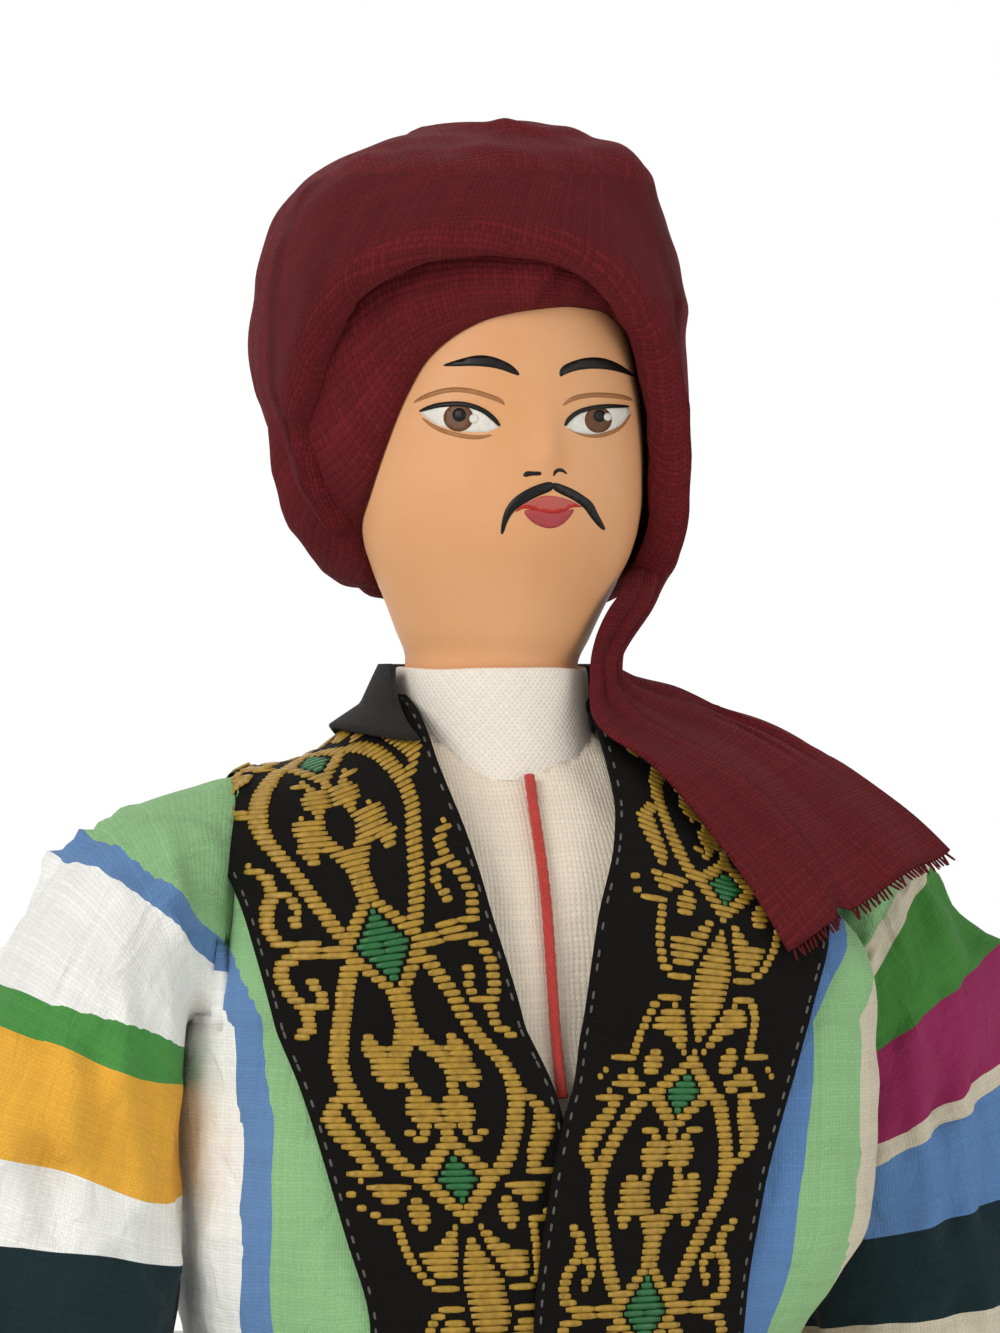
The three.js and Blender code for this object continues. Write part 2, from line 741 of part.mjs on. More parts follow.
/** The space inside the neck band's outer face. */
function bandForm(grow, rise = 0) {
  const wide = NECK_HOLE_RADIUS - CLOTH_GAP + grow;
  const narrow = COLLAR_RADIUS + COLLAR_THICKNESS + CLOTH_GAP + BAND_THICKNESS + grow;
  return turned([
    [wide, BAND_FOOT - rise],
    [wide, BAND_FOOT + 3],
    [lerp(narrow, wide, 0.3), COLLAR_TOP - 2.4],
    [narrow, COLLAR_TOP],
    [narrow, COLLAR_TOP + rise],
  ]);
}

/** The plain black band that stands round the back of the neck. */
function neckBand() {
  const frontCut = new THREE.BoxGeometry(CUTTER_SIZE, CUTTER_SIZE, CUTTER_SIZE);
  frontCut.translate(0, -CUTTER_SIZE / 2, 0);
  frontCut.rotateX(-radians(BAND_SLANT));
  frontCut.translate(0, -2, COLLAR_TOP);
  return bandForm(0, 1)
    .intersect(slab(BAND_FOOT, COLLAR_TOP))
    .subtract(bandForm(-BAND_THICKNESS, 2))
    .subtract(solid(frontCut));
}

function sashBand() {
  const low = WAIST_HEIGHT - SASH_WIDTH / 2;
  return bodyForm(SASH_GROW)
    .intersect(slab(low, low + SASH_WIDTH))
    .subtract(bodyForm(BRAID_GROW + CLOTH_GAP));
}

function sashKnot() {
  const [, front] = between(BODY_ROWS, WAIST_HEIGHT);
  const y = -(front + SASH_GROW + CLOTH_GAP + KNOT_RADII[1] - 1.2);
  return ball([KNOT_X, y, WAIST_HEIGHT - 1], KNOT_RADII, 16).subtract(
    bodyForm(SASH_GROW + CLOTH_GAP),
  );
}

/** One hanging end of the sash, laid on the skirt below the knot. */
function sashTail(side) {
  const top = WAIST_HEIGHT - SASH_WIDTH / 2 - CLOTH_GAP;
  const spread = side * SASH_TAIL_WIDTH;
  const outline = [
    new THREE.Vector2(KNOT_X + side * 0.4, top),
    new THREE.Vector2(KNOT_X + spread * 0.75, top),
    new THREE.Vector2(KNOT_X + spread * 1.35, top - SASH_TAIL_LENGTH * 0.45),
    new THREE.Vector2(KNOT_X + spread * 1.55, top - SASH_TAIL_LENGTH * (1 + side * 0.06)),
    new THREE.Vector2(KNOT_X + spread * 0.5, top - SASH_TAIL_LENGTH * (0.96 + side * 0.06)),
    new THREE.Vector2(KNOT_X + spread * 0.2, top - SASH_TAIL_LENGTH * 0.45),
  ];
  if (side < 0) outline.reverse();
  return bodyForm(SASH_GROW)
    .subtract(bodyForm(SASH_GROW - SASH_TAIL_THICKNESS))
    .intersect(prism(outline, FRONT, 0));
}

// The head, in its own frame: the origin is on the neck's axis at the top of the shirt's collar

const HEAD_PROFILE = [
  [NECK_RADIUS - NECK_TAPER, -NECK_DROP],
  [NECK_RADIUS - NECK_TAPER, -NECK_DROP / 2],
  [NECK_RADIUS, -1],
  [NECK_RADIUS, 0.6],
  [NECK_RADIUS + 1.35, 4.2],
  [NECK_RADIUS + 2.65, 7.3],
  [HEAD_RADIUS - 2.4, 11.2],
  [HEAD_RADIUS - 1.2, 14],
  [HEAD_RADIUS - 0.35, 17.3],
  [HEAD_RADIUS, HEAD_WIDEST],
  [HEAD_RADIUS - 0.1, HEAD_WIDEST + 4.5],
  [HEAD_RADIUS - 0.5, HEAD_WIDEST + 9],
  [HEAD_RADIUS - 1.2, HEAD_WIDEST + 13.5],
  [HEAD_RADIUS - 2.5, HEAD_HEIGHT - 16.5],
  [HEAD_RADIUS - 4.7, HEAD_HEIGHT - 11],
  [HEAD_RADIUS - 7.8, HEAD_HEIGHT - 5.7],
  [HEAD_RADIUS - 12, HEAD_HEIGHT - 1.8],
  [0.8, HEAD_HEIGHT],
];

/** The head's radius at a height, with corners eased. */
function headRadius(height) {
  return between(
    HEAD_PROFILE.map(([r, h]) => [h, r]),
    height,
  )[0];
}

/** The head's turned form, grown by an amount. */
function headForm(grow) {
  return turned(
    HEAD_PROFILE.map(([r, h]) => [r + grow, h + (h > HEAD_HEIGHT / 2 ? grow : 0)]),
    HEAD_SIDES,
  );
}

function head() {
  const nose = ball([0, -HEAD_RADIUS + 0.5, HEAD_WIDEST + 4.2], [2.1, NOSE_RISE + 0.5, 4.2], 12);
  const socket = rod(
    new THREE.Vector3(0, 0, -NECK_DROP - 1),
    new THREE.Vector3(0, 0, HEAD_SOCKET_DEPTH - NECK_DROP + WOOD_GAP),
    NECK_DOWEL_RADIUS + WOOD_GAP,
  );
  return headForm(0).add(nose).subtract(socket);
}

// Height of the inner wrap's edge round the face, by azimuth
const FACE_EDGE = [
  [-180, 9.4],
  [-112, 9],
  [-101, 11],
  [-95, 14.5],
  [-78, 19.5],
  [-68, 25.1],
  [-60, 30.5],
  [-51, 35.1],
  [-36, 38.5],
  [-23, 40.1],
  [-3, 41.3],
  [16, 41.9],
  [32, 41.8],
  [52, 39.8],
  [70, 36.8],
  [79, 28],
  [88, 16],
  [98, 10],
  [180, 9.4],
];
// Height of the outer wrap's rolled lip, by azimuth
const ROLL_LIP = [
  [-180, 8.5],
  [-140, 7.5],
  [-117, 9.5],
  [-106, 15.5],
  [-96, 24.5],
  [-86, 33.5],
  [-70, 40.3],
  [-50, 45],
  [-30, 47.5],
  [0, 47.9],
  [30, 43.9],
  [50, 39.8],
  [65, 35.5],
  [75, 28.5],
  [85, 18.5],
  [95, 11],
  [120, 8],
  [180, 8.5],
];
// How far the wraps reach below the turban's middle, by azimuth
const WRAP_DROP = [
  [-180, 34],
  [-100, 31],
  [0, 34],
  [75, 40],
  [110, 38],
  [180, 34],
];

/** Everything below an edge that goes round the head, as a cutter. */
function belowEdge(edge) {
  const ring = (radius, height) => {
    const points = [];
    for (let j = 0; j < WRAP_SIDES; j++) {
      const azimuth = -180 + (360 * j) / WRAP_SIDES;
      const a = radians(azimuth);
      const h = height === null ? around(edge, azimuth) : height;
      points.push(new THREE.Vector3(radius * Math.sin(a), -radius * Math.cos(a), h));
    }
    return points;
  };
  const outside = HEAD_RADIUS * 3;
  return solid(loft([ring(outside, -NECK_DROP * 2), ring(outside, null), ring(HEAD_RADIUS / 3, null)]));
}

function turbanInnerWrap() {
  return headForm(WOOD_GAP + INNER_WRAP_THICKNESS)
    .subtract(headForm(WOOD_GAP))
    .subtract(belowEdge(FACE_EDGE))
    .intersect(slab(0, INNER_WRAP_TOP));
}

/** Two broad folds of cloth that wind up and round the turban. */
function wrapFold(azimuth, height) {
  const turn = azimuth / 360 - height / 42;
  const phase = turn * 2 - Math.floor(turn * 2);
  const back = THREE.MathUtils.smoothstep(Math.abs(azimuth), 60, 130);
  return 1.1 * back * (phase - 0.5);
}

/** A point on the turban's outer surface. */
function turbanPoint(azimuth, height, grow) {
  const a = radians(azimuth);
  const drop = around(WRAP_DROP, azimuth);
  const rise = TURBAN_TOP - TURBAN_MIDDLE;
  const above = height > TURBAN_MIDDLE;
  const share = Math.min(1, Math.abs(height - TURBAN_MIDDLE) / (above ? rise : drop));
  const squareness = above ? 2.7 : 2.3;
  const shrink = (1 - share ** squareness) ** (1 / squareness);
  const fold = above ? wrapFold(azimuth, height) * shrink : wrapFold(azimuth, height);
  return new THREE.Vector3(
    TURBAN_SHIFT.x + ((TURBAN_HALF_WIDTH + fold) * shrink + grow) * Math.sin(a),
    TURBAN_SHIFT.y - ((TURBAN_HALF_DEPTH + fold) * shrink + grow) * Math.cos(a),
    height,
  );
}

/** The wound outer cloth as a closed body, before the head's space is cut from it. */
function turbanBlob(grow) {
  const lipShare = [0, 0.3, 0.75, 0.95];
  const lipRise = [1.6, 0, 0.4, 2.2];
  const riseShare = [0, 0.14, 0.3, 0.47, 0.64, 0.79, 0.91, 0.98];
  const rings = [];
  const azimuths = [];
  for (let j = 0; j < WRAP_SIDES; j++) azimuths.push(-180 + (360 * j) / WRAP_SIDES);
  const startOf = (azimuth) => around(ROLL_LIP, azimuth) + ROLL_HEIGHT;
  lipShare.forEach((share, k) => {
    rings.push(
      azimuths.map((azimuth) => {
        const height = around(ROLL_LIP, azimuth) + lipRise[k];
        const outer = turbanPoint(azimuth, startOf(azimuth), grow);
        const reach = Math.hypot(outer.x, outer.y);
        const inner = headRadius(height) + WOOD_GAP + INNER_WRAP_THICKNESS + CLOTH_GAP - ROLL_OVERLAP;
        const r = lerp(inner, reach, share);
        return new THREE.Vector3((outer.x / reach) * r, (outer.y / reach) * r, height - grow);
      }),
    );
  });
  for (const share of riseShare) {
    rings.push(
      azimuths.map((azimuth) => {
        const low = startOf(azimuth);
        return turbanPoint(azimuth, lerp(low, TURBAN_TOP, share), grow);
      }),
    );
  }
  return solid(loft(rings));
}

function turbanOuterWrap() {
  return turbanBlob(0).subtract(headForm(WOOD_GAP + INNER_WRAP_THICKNESS + CLOTH_GAP));
}

/** An upright strand of folded cloth through oval sections along a path. */
function strand(path, sections, sides = 10) {
  const rings = sections.map(([t, halfWidth, halfThickness]) => {
    const p = path.getPoint(t);
    const along = path.getTangent(t);
    const outward = new THREE.Vector3(p.x, p.y, 0).normalize();
    const across = new THREE.Vector3().crossVectors(outward, along).normalize();
    const out = new THREE.Vector3().crossVectors(along, across).normalize();
    const ring = [];
    for (let j = 0; j < sides; j++) {
      const a = (2 * Math.PI * j) / sides;
      ring.push(
        p
          .clone()
          .addScaledVector(across, Math.cos(a) * halfWidth)
          .addScaledVector(out, Math.sin(a) * halfThickness),
      );
    }
    return ring;
  });
  return solid(loft(rings));
}

/** Where the head's own frame lies on the figure. */
function headMatrix() {
  const place = new THREE.Matrix4().makeRotationY(radians(HEAD_LEAN));
  return place.setPosition(0, 0, COLLAR_TOP);
}

function turbanStrand() {
  const path = new THREE.CatmullRomCurve3([
    new THREE.Vector3(12.9, -5.6, STRAND_END),
    new THREE.Vector3(14.4, -5.4, 4.5),
    new THREE.Vector3(17.4, -3.6, 10.5),
    new THREE.Vector3(20, -0.6, 18),
    new THREE.Vector3(20.6, 2.4, 25),
  ]);
  const made = strand(path, [
    [0, 2.6, 1.7],
    [0.25, 2.9, 1.6],
    [0.5, 3.4, 1.6],
    [0.75, 4, 1.6],
    [1, 4, 1.5],
  ]);
  return made
    .subtract(turbanBlob(CLOTH_GAP))
    .subtract(headForm(WOOD_GAP + INNER_WRAP_THICKNESS + CLOTH_GAP))
    .intersect(slab(STRAND_END, 30));
}

/** The loose end of the turban, spread over the left shoulder. */
function turbanTail() {
  const top = COLLAR_TOP + STRAND_END - CLOTH_GAP;
  const shoulder = SHOULDER_HEIGHT;
  const frontRail = new THREE.CatmullRomCurve3([
    new THREE.Vector3(11.6, -8, top),
    new THREE.Vector3(11.9, -10.2, top - 4),
    new THREE.Vector3(14.6, -14.5, shoulder + 21),
    new THREE.Vector3(19.6, -20.5, shoulder + 12),
    new THREE.Vector3(24, -24.6, shoulder + 3),
    new THREE.Vector3(27, -26.4, shoulder - 5.3),
  ]);
  const backRail = new THREE.CatmullRomCurve3([
    new THREE.Vector3(14.4, -3.4, top),
    new THREE.Vector3(17.2, -2.6, top - 2.5),
    new THREE.Vector3(24.5, -1.4, top - 4.2),
    new THREE.Vector3(33, -1, top - 6.6),
    new THREE.Vector3(44.3, -6, shoulder + 16),
    new THREE.Vector3(51.5, -14.5, shoulder + 8.5),
  ]);
  const lengths = [0, 0.1, 0.22, 0.36, 0.52, 0.68, 0.84, 1];
  const crossing = [0, 0.2, 0.4, 0.6, 0.8, 1];
  const rings = lengths.map((t) => {
    const f = frontRail.getPoint(t);
    const b = backRail.getPoint(t);
    const lift = 3.2 * Math.sin(Math.PI * Math.min(1, t * 1.15)) + 0.6;
    const thickness = t < 0.3 ? lerp(2.6, TAIL_THICKNESS, t / 0.3) : TAIL_THICKNESS;
    const upper = crossing.map((s) => {
      const p = f.clone().lerp(b, s);
      const bulge = Math.sin(Math.PI * s) * lift;
      return p.add(new THREE.Vector3(bulge * 0.35, -bulge * 0.45, bulge * 0.75));
    });
    const across = new THREE.Vector3().subVectors(b, f).normalize();
    const along = new THREE.Vector3().addVectors(frontRail.getTangent(t), backRail.getTangent(t));
    const out = new THREE.Vector3().crossVectors(along, across).normalize();
    const under = upper.map((p) => p.clone().addScaledVector(out, -thickness)).reverse();
    return [...upper, ...under].reverse();
  });
  const belowStrand = slab(-60, STRAND_END - CLOTH_GAP).transform(headMatrix().elements);
  return solid(loft(rings))
    .subtract(bodyForm(BRAID_GROW + CLOTH_GAP))
    .subtract(sleeveDome(SWING_GAP + CLOTH_GAP))
    .subtract(bandForm(CLOTH_GAP, 5))
    .subtract(collarForm(COLLAR_RADIUS + COLLAR_THICKNESS + CLOTH_GAP, 5))
    .intersect(belowStrand);
}

// An arm, for the doll's left side; the right one is its mirror image

/** The rounded cap of the sleeve, turned about the shoulder wire, so that it clears when it swings. */
function sleeveDome(grow) {
  const start = ROBE_SIDE + SWING_GAP;
  const profile = [
    [YOKE_RADIUS - 0.4, 0],
    [YOKE_RADIUS - 1.6, 4],
    [YOKE_RADIUS - 3.5, 8],
    [YOKE_RADIUS - 5.7, 11.4],
    [YOKE_RADIUS - 8.6, 14],
    [YOKE_RADIUS - 12, 15.8],
  ];
  const lathe = new THREE.LatheGeometry(
    [
      new THREE.Vector2(0, 0),
      ...profile.map(([r, x]) => new THREE.Vector2(r + grow, x + (x > 0 ? grow : 0))),
      new THREE.Vector2(0, profile[profile.length - 1][1] + 0.5 + grow),
    ],
    SLEEVE_SIDES,
  );
  lathe.rotateZ(-Math.PI / 2);
  lathe.translate(start, 0, SHOULDER_HEIGHT);
  return solid(lathe);
}

/** The limb's centre line at a distance below the shoulder. */
function onArm(distance) {
  const lean = radians(ARM_LEAN);
  return new THREE.Vector3(
    ARM_START + distance * Math.sin(lean),
    0,
    SHOULDER_HEIGHT - distance * Math.cos(lean),
  );
}

const SLEEVE_ROWS = [
  // distance below the shoulder, reach towards the body, reach outwards, half depth
  [0, 23.5, 8.1, SLEEVE_DEPTH - 0.4],
  [SLEEVE_LENGTH * 0.055, 23.1, 9.9, SLEEVE_DEPTH - 0.2],
  [SLEEVE_LENGTH * 0.135, 21.9, 12.4, SLEEVE_DEPTH],
  [SLEEVE_LENGTH * 0.27, 20.3, 14.3, SLEEVE_DEPTH],
  [SLEEVE_LENGTH * 0.43, 18.7, 15.6, SLEEVE_DEPTH - 0.2],
  [SLEEVE_LENGTH * 0.595, 21.3, 16.1, SLEEVE_DEPTH - 0.4],
  [SLEEVE_LENGTH * 0.7, 21.8, 16.1, SLEEVE_DEPTH - 0.6],
  [SLEEVE_LENGTH * 0.76, 22.8, 16.1, SLEEVE_DEPTH - 0.8],
  [SLEEVE_LENGTH * 0.89, 24.6, 15.8, SLEEVE_DEPTH - 1.1],
  [SLEEVE_LENGTH, 25, 15.1, SLEEVE_DEPTH - 1.2],
];

/** One ring of the sleeve at a distance below the shoulder, shrunk by a wall. */
function sleeveRing(drop, shrink) {
  const [inward, outward, depth] = between(SLEEVE_ROWS, drop);
  const slope = Math.tan(radians(ARM_LEAN));
  const middle = ARM_START + drop * slope + (outward - inward) / 2;
  const half = (inward + outward) / 2 - shrink;
  const tilt = (drop / SLEEVE_LENGTH) * slope;
  const pleat = PLEAT_DEPTH * Math.cos((2 * Math.PI * drop) / PLEAT_SPACING);
  const deep = depth - shrink + pleat;
  const ring = ovalRing(0, half + pleat * 0.5, deep, deep, SLEEVE_SIDES, 2.15, [middle, 0]);
  for (const p of ring) p.z = SHOULDER_HEIGHT - drop + (p.x - middle) * tilt;
  return ring;
}

/** The hanging part of the sleeve, from its rings. */
function sleeveTube() {
  const drops = SLEEVE_ROWS.map(([drop]) => drop).reverse();
  return solid(loft(drops.map((drop) => sleeveRing(drop, 0))));
}

/** The open space inside the cuff, which runs out past its edge. */
function cuffHollow() {
  const deepest = SLEEVE_LENGTH - CUFF_DEPTH;
  const below = sleeveRing(SLEEVE_LENGTH, CUFF_WALL);
  for (const p of below) p.z -= CUFF_DEPTH;
  const drops = [SLEEVE_LENGTH, SLEEVE_LENGTH - CUFF_DEPTH / 2, deepest];
  return solid(loft([below, ...drops.map((drop) => sleeveRing(drop, CUFF_WALL))]));
}

/** The wooden limb with its shoulder barrel, grown by an amount. */
function limb(grow, extra = 0) {
  const barrelStart = BOSS_END + SWING_GAP;
  const barrel = rod(
    new THREE.Vector3(barrelStart - grow - extra, 0, SHOULDER_HEIGHT),
    new THREE.Vector3(barrelStart + BARREL_LENGTH + grow, 0, SHOULDER_HEIGHT),
    BOSS_RADIUS + grow,
    BOSS_RADIUS + grow,
    20,
  );
  const end = onArm(ARM_LENGTH + grow + extra);
  const shaft = rod(onArm(0), end, ARM_RADIUS + grow, WRIST_RADIUS + grow, 16);
  const shoulder = ball(onArm(0).toArray(), Array(3).fill(ARM_RADIUS + 0.6 + grow), 16);
  return barrel.add(shaft).add(shoulder);
}

function arm() {
  return limb(0).subtract(shoulderWire(WOOD_GAP, WIRE_HOLE_END));
}

/** The swinging sleeve: a turned cap that runs into a wide hanging tube with an open cuff. */
function sleeve() {
  const keep = new THREE.BoxGeometry(CUTTER_SIZE, CUTTER_SIZE, CUTTER_SIZE);
  keep.translate(ROBE_SIDE + SWING_GAP + CUTTER_SIZE / 2, 0, SHOULDER_HEIGHT);
  return sleeveDome(0)
    .add(sleeveTube())
    .intersect(solid(keep))
    .subtract(limb(WOOD_GAP, CUFF_DEPTH))
    .subtract(cuffHollow());
}

/** A carved hand: a flat palm, four fingers held together and a thumb. */
function hand() {
  const start = onArm(ARM_LENGTH + WOOD_GAP);
  const down = new THREE.Vector3().subVectors(onArm(1), onArm(0));
  const across = new THREE.Vector3(0, -1, 0);
  const out = new THREE.Vector3().crossVectors(across, down);
  const place = (share, sideways, outwards) =>
    start
      .clone()
      .addScaledVector(down, HAND_LENGTH * share)
      .addScaledVector(across, sideways)
      .addScaledVector(out, outwards);
  const rows = [
    // share of the hand's length, half width, half thickness
    [0, WRIST_RADIUS - 0.6, WRIST_RADIUS - 1],
    [0.14, WRIST_RADIUS - 1.2, WRIST_RADIUS - 2],
    [0.3, HAND_WIDTH * 0.45, HAND_THICKNESS / 2],
    [0.5, HAND_WIDTH / 2, HAND_THICKNESS / 2],
    [0.62, HAND_WIDTH * 0.46, HAND_THICKNESS * 0.4],
  ];
  const palm = rows.map(([share, halfWidth, halfThickness]) => {
    const ring = [];
    for (let j = 0; j < 12; j++) {
      const a = (2 * Math.PI * j) / 12;
      ring.push(place(share, Math.cos(a) * halfWidth, Math.sin(a) * halfThickness));
    }
    return ring;
  });
  let made = solid(loft(palm.reverse()));
  const fingerRadius = HAND_WIDTH / 8 + 0.12;
  const reach = [0.92, 1, 0.97, 0.86];
  reach.forEach((share, i) => {
    const offset = (1.5 - i) * (HAND_WIDTH / 4 - 0.12);
    const from = place(0.55, offset, 0);
    const to = place(share, offset * 0.85, -1.2);
    made = made.add(peg(from, to, fingerRadius, fingerRadius * 0.85));
  });
  const thumbRoot = place(0.26, 2.4, 0);
  const thumbTip = place(0.6, HAND_WIDTH * 0.66, -1.4);
  return made.add(peg(thumbRoot, thumbTip, 1.7, 1.2));
}

// Finishes

const finish = (color, roughness, metalness = 0) =>
  new THREE.MeshStandardMaterial({ color, roughness, metalness });
const FINISHES = {
  paintedWood: finish(0xd9a06b, 0.45),
  bareWood: finish(0xd8b98a, 0.7),
  varnishedWood: finish(0x8a5a30, 0.35),
  steel: finish(0x9a9a9c, 0.35, 1),
  wool: finish(0x5a1626, 0.9),
  robe: finish(0x8fb98a, 0.9),
  braid: finish(0x1a1816, 0.8),
  shirt: finish(0xece6da, 0.9),
  redCord: finish(0xb3202a, 0.7),
  wadding: finish(0xf1ede4, 1),
  trousers: finish(0xd9d2c2, 0.9),
  leather: finish(0x1d1a19, 0.4),
  soleLeather: finish(0x3a281c, 0.7),
};

/** A named mesh from a solid. */
function node(name, made, material) {
  const mesh = new THREE.Mesh(geometryOf(made), material);
  mesh.name = name;
  return mesh;
}

// Assembly

const doll = new THREE.Group();
const figure = new THREE.Group();
figure.position.z = BASE_HEIGHT;
doll.add(figure);

figure.add(node("base_disc", baseDisc(), FINISHES.varnishedWood));
for (const [name, side] of [
  ["right", -1],
  ["left", 1],
]) {
  figure.add(node(`leg_dowel_${name}`, legDowel(side), FINISHES.bareWood));
  figure.add(node(`boot_${name}`, boot(side), FINISHES.leather));
  figure.add(node(`boot_sole_${name}`, bootSole(side), FINISHES.soleLeather));
  figure.add(node(`front_braid_${name}`, frontBraid(side), FINISHES.braid));
  figure.add(node(`sash_tail_${name}`, sashTail(side), FINISHES.wool));
}
figure.add(node("trousers", trousers(), FINISHES.trousers));
figure.add(node("torso_core", torsoCore(), FINISHES.bareWood));
figure.add(node("torso_padding", torsoPadding(), FINISHES.wadding));
figure.add(node("shoulder_wire", shoulderWire(0, WIRE_END), FINISHES.steel));
figure.add(node("neck_dowel", neckDowel(0), FINISHES.bareWood));
figure.add(node("shirt_body", shirtBody(), FINISHES.shirt));
figure.add(node("shirt_collar", shirtCollar(), FINISHES.shirt));
figure.add(node("placket_piping", placketPiping(), FINISHES.redCord));
figure.add(node("robe_body", robeBody(), FINISHES.robe));
figure.add(node("neck_band", neckBand(), FINISHES.braid));
figure.add(node("sash_band", sashBand(), FINISHES.wool));
figure.add(node("sash_knot", sashKnot(), FINISHES.wool));
figure.add(node("turban_tail", turbanTail(), FINISHES.wool));

const headGroup = new THREE.Group();
headGroup.position.set(0, 0, COLLAR_TOP);
headGroup.rotation.y = radians(HEAD_LEAN);
headGroup.add(node("head", head(), FINISHES.paintedWood));
headGroup.add(node("turban_inner_wrap", turbanInnerWrap(), FINISHES.wool));
headGroup.add(node("turban_outer_wrap", turbanOuterWrap(), FINISHES.wool));
headGroup.add(node("turban_strand", turbanStrand(), FINISHES.wool));
figure.add(headGroup);

for (const [name, side] of [
  ["left", 1],
  ["right", -1],
]) {
  const group = new THREE.Group();
  group.scale.x = side;
  group.add(node(`arm_${name}`, arm(), FINISHES.bareWood));
  group.add(node(`sleeve_${name}`, sleeve(), FINISHES.robe));
  group.add(node(`hand_${name}`, hand(), FINISHES.paintedWood));
  figure.add(group);
}

export default doll;
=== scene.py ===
"""A souvenir doll in folk costume: turned wooden head, wound turban, striped robe and woven braid."""

import logging
import math
from dataclasses import dataclass, field
from enum import Enum
from functools import cache, partial
from typing import Callable, Sequence

import bmesh
import bpy
import numpy as np
from bpy.types import Material, Node, NodeSocket, NodeTree, Object
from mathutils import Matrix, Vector
from mathutils.bvhtree import BVHTree
from mathutils.geometry import delaunay_2d_cdt


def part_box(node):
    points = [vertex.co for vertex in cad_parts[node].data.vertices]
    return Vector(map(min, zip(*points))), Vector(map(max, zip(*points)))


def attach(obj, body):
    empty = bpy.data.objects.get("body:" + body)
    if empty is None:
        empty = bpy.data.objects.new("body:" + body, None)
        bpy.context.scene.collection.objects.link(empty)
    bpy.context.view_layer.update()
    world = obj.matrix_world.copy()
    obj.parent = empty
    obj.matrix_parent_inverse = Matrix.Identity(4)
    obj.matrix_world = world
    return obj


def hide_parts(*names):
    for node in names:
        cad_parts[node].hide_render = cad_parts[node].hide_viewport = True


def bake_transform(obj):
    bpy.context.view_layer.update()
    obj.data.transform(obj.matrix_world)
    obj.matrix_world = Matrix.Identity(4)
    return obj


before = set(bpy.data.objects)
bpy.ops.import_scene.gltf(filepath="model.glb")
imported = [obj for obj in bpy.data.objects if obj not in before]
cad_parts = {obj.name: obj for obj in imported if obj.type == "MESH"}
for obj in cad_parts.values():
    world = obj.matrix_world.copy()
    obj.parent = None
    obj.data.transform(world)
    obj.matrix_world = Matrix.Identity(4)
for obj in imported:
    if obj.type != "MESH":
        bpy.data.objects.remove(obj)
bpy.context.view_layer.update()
LOG = logging.getLogger("doll")
MM = 0.001
RING = 2 * math.pi
SIDES = {1: "left", -1: "right"}
Array = np.ndarray
Numbers = np.ndarray | float
Line = Sequence[tuple[float, float]]
AddNode = Callable[..., Node]


class Body(Enum):
    """The bodies that pieces ride on."""

    FIGURE = "figure"
    HEAD = "head_and_turban"
    LEFT_ARM = "left_arm"
    RIGHT_ARM = "right_arm"


class Held(Enum):
    """How a sheet of cloth is held."""

    HUNG = "hung"
    FOLDED = "folded"
    GATHERED = "gathered"


def colour(text: str) -> tuple[float, float, float, float]:
    """Turns an sRGB hex value, #RRGGBB, to a linear colour without transparency.

    Args:
        text: the colour, as #RRGGBB.

    Returns:
        Red, green, blue and alpha.
    """
    parts = [int(text[i:i + 2], 16) / 255 for i in (1, 3, 5)]
    linear = [p / 12.92 if p <= 0.04045 else ((p + 0.055) / 1.055) ** 2.4 for p in parts]
    return (*linear, 1.0)


def add(tree: NodeTree, kind: str, inputs: dict | Sequence = (), operation: str | None = None,
        **settings) -> Node:
    """Adds a node with its settings and links.

    Args:
        tree: the tree that the node goes into.
        kind: the node's type name, a shader node's without its first word.
        inputs: values, sockets or nodes (their first socket) for its inputs, in order, or by name or number.
        operation: what a math node works out.
        **settings: other properties of the node, set first.

    Returns:
        The new node.
    """
    node = tree.nodes.new(kind if "Node" in kind else f"ShaderNode{kind}")
    if operation:
        node.operation = operation
    for name, value in settings.items():
        setattr(node, name, value)
    for key, value in inputs.items() if isinstance(inputs, dict) else enumerate(inputs):
        if isinstance(value, Node):
            value = value.outputs[0]
        if isinstance(value, NodeSocket):
            tree.links.new(value, node.inputs[key])
        else:
            node.inputs[key].default_value = value
    return node


def smooth(low: float, high: float, value: Numbers) -> Numbers:
    """Gives a smooth step from 0 at low to 1 at high."""
    t = np.clip((np.asarray(value, float) - low) / (high - low), 0, 1)
    return t * t * (3 - 2 * t)


def waves(points: Array, length: float, seed: int, count: int = 7) -> Array:
    """Gives soft, seeded unevenness over points, as hand-laid cloth has.

    Args:
        points: places in mm, with three numbers each.
        length: the usual length of a wave in mm.
        seed: which unevenness it is.
        count: how many waves are summed.

    Returns:
        A number of about -1.5 to 1.5 for each point.
    """
    draw = np.random.default_rng(seed)
    total = np.zeros(points.shape[:-1])
    for _ in range(count):
        way = draw.normal(size=3)
        way *= RING / (np.linalg.norm(way) * length * draw.uniform(0.7, 1.4))
        total += np.sin(points @ way + draw.uniform(0, RING))
    return total / math.sqrt(count / 2)


def around(count: int, start: float = 0.0) -> Array:
    """Gives evenly spaced angles once round, in radians."""
    return np.linspace(start, start + RING, count + 1)[:-1]


def unit(ways: Array) -> Array:
    """Scales each way to length 1."""
    return ways / np.linalg.norm(ways, axis=-1, keepdims=True)


def squared(turns: Array, power: float = 2.3) -> tuple[Array, Array]:
    """Gives x and y round a circle of radius 1 that is a little squared.

    Args:
        turns: angles in radians.
        power: 2 for a circle, and more for squarer corners.

    Returns:
        The x and the y.
    """
    cos, sin = np.cos(turns), np.sin(turns)
    reach = (np.abs(cos) ** power + np.abs(sin) ** power) ** (-1 / power)
    return reach * cos, reach * sin


def at_heights(x: Array, y: Array, heights: Array) -> Array:
    """Stacks x and y with a height for each row."""
    return np.stack(np.broadcast_arrays(x, y, heights[:, None]), -1)


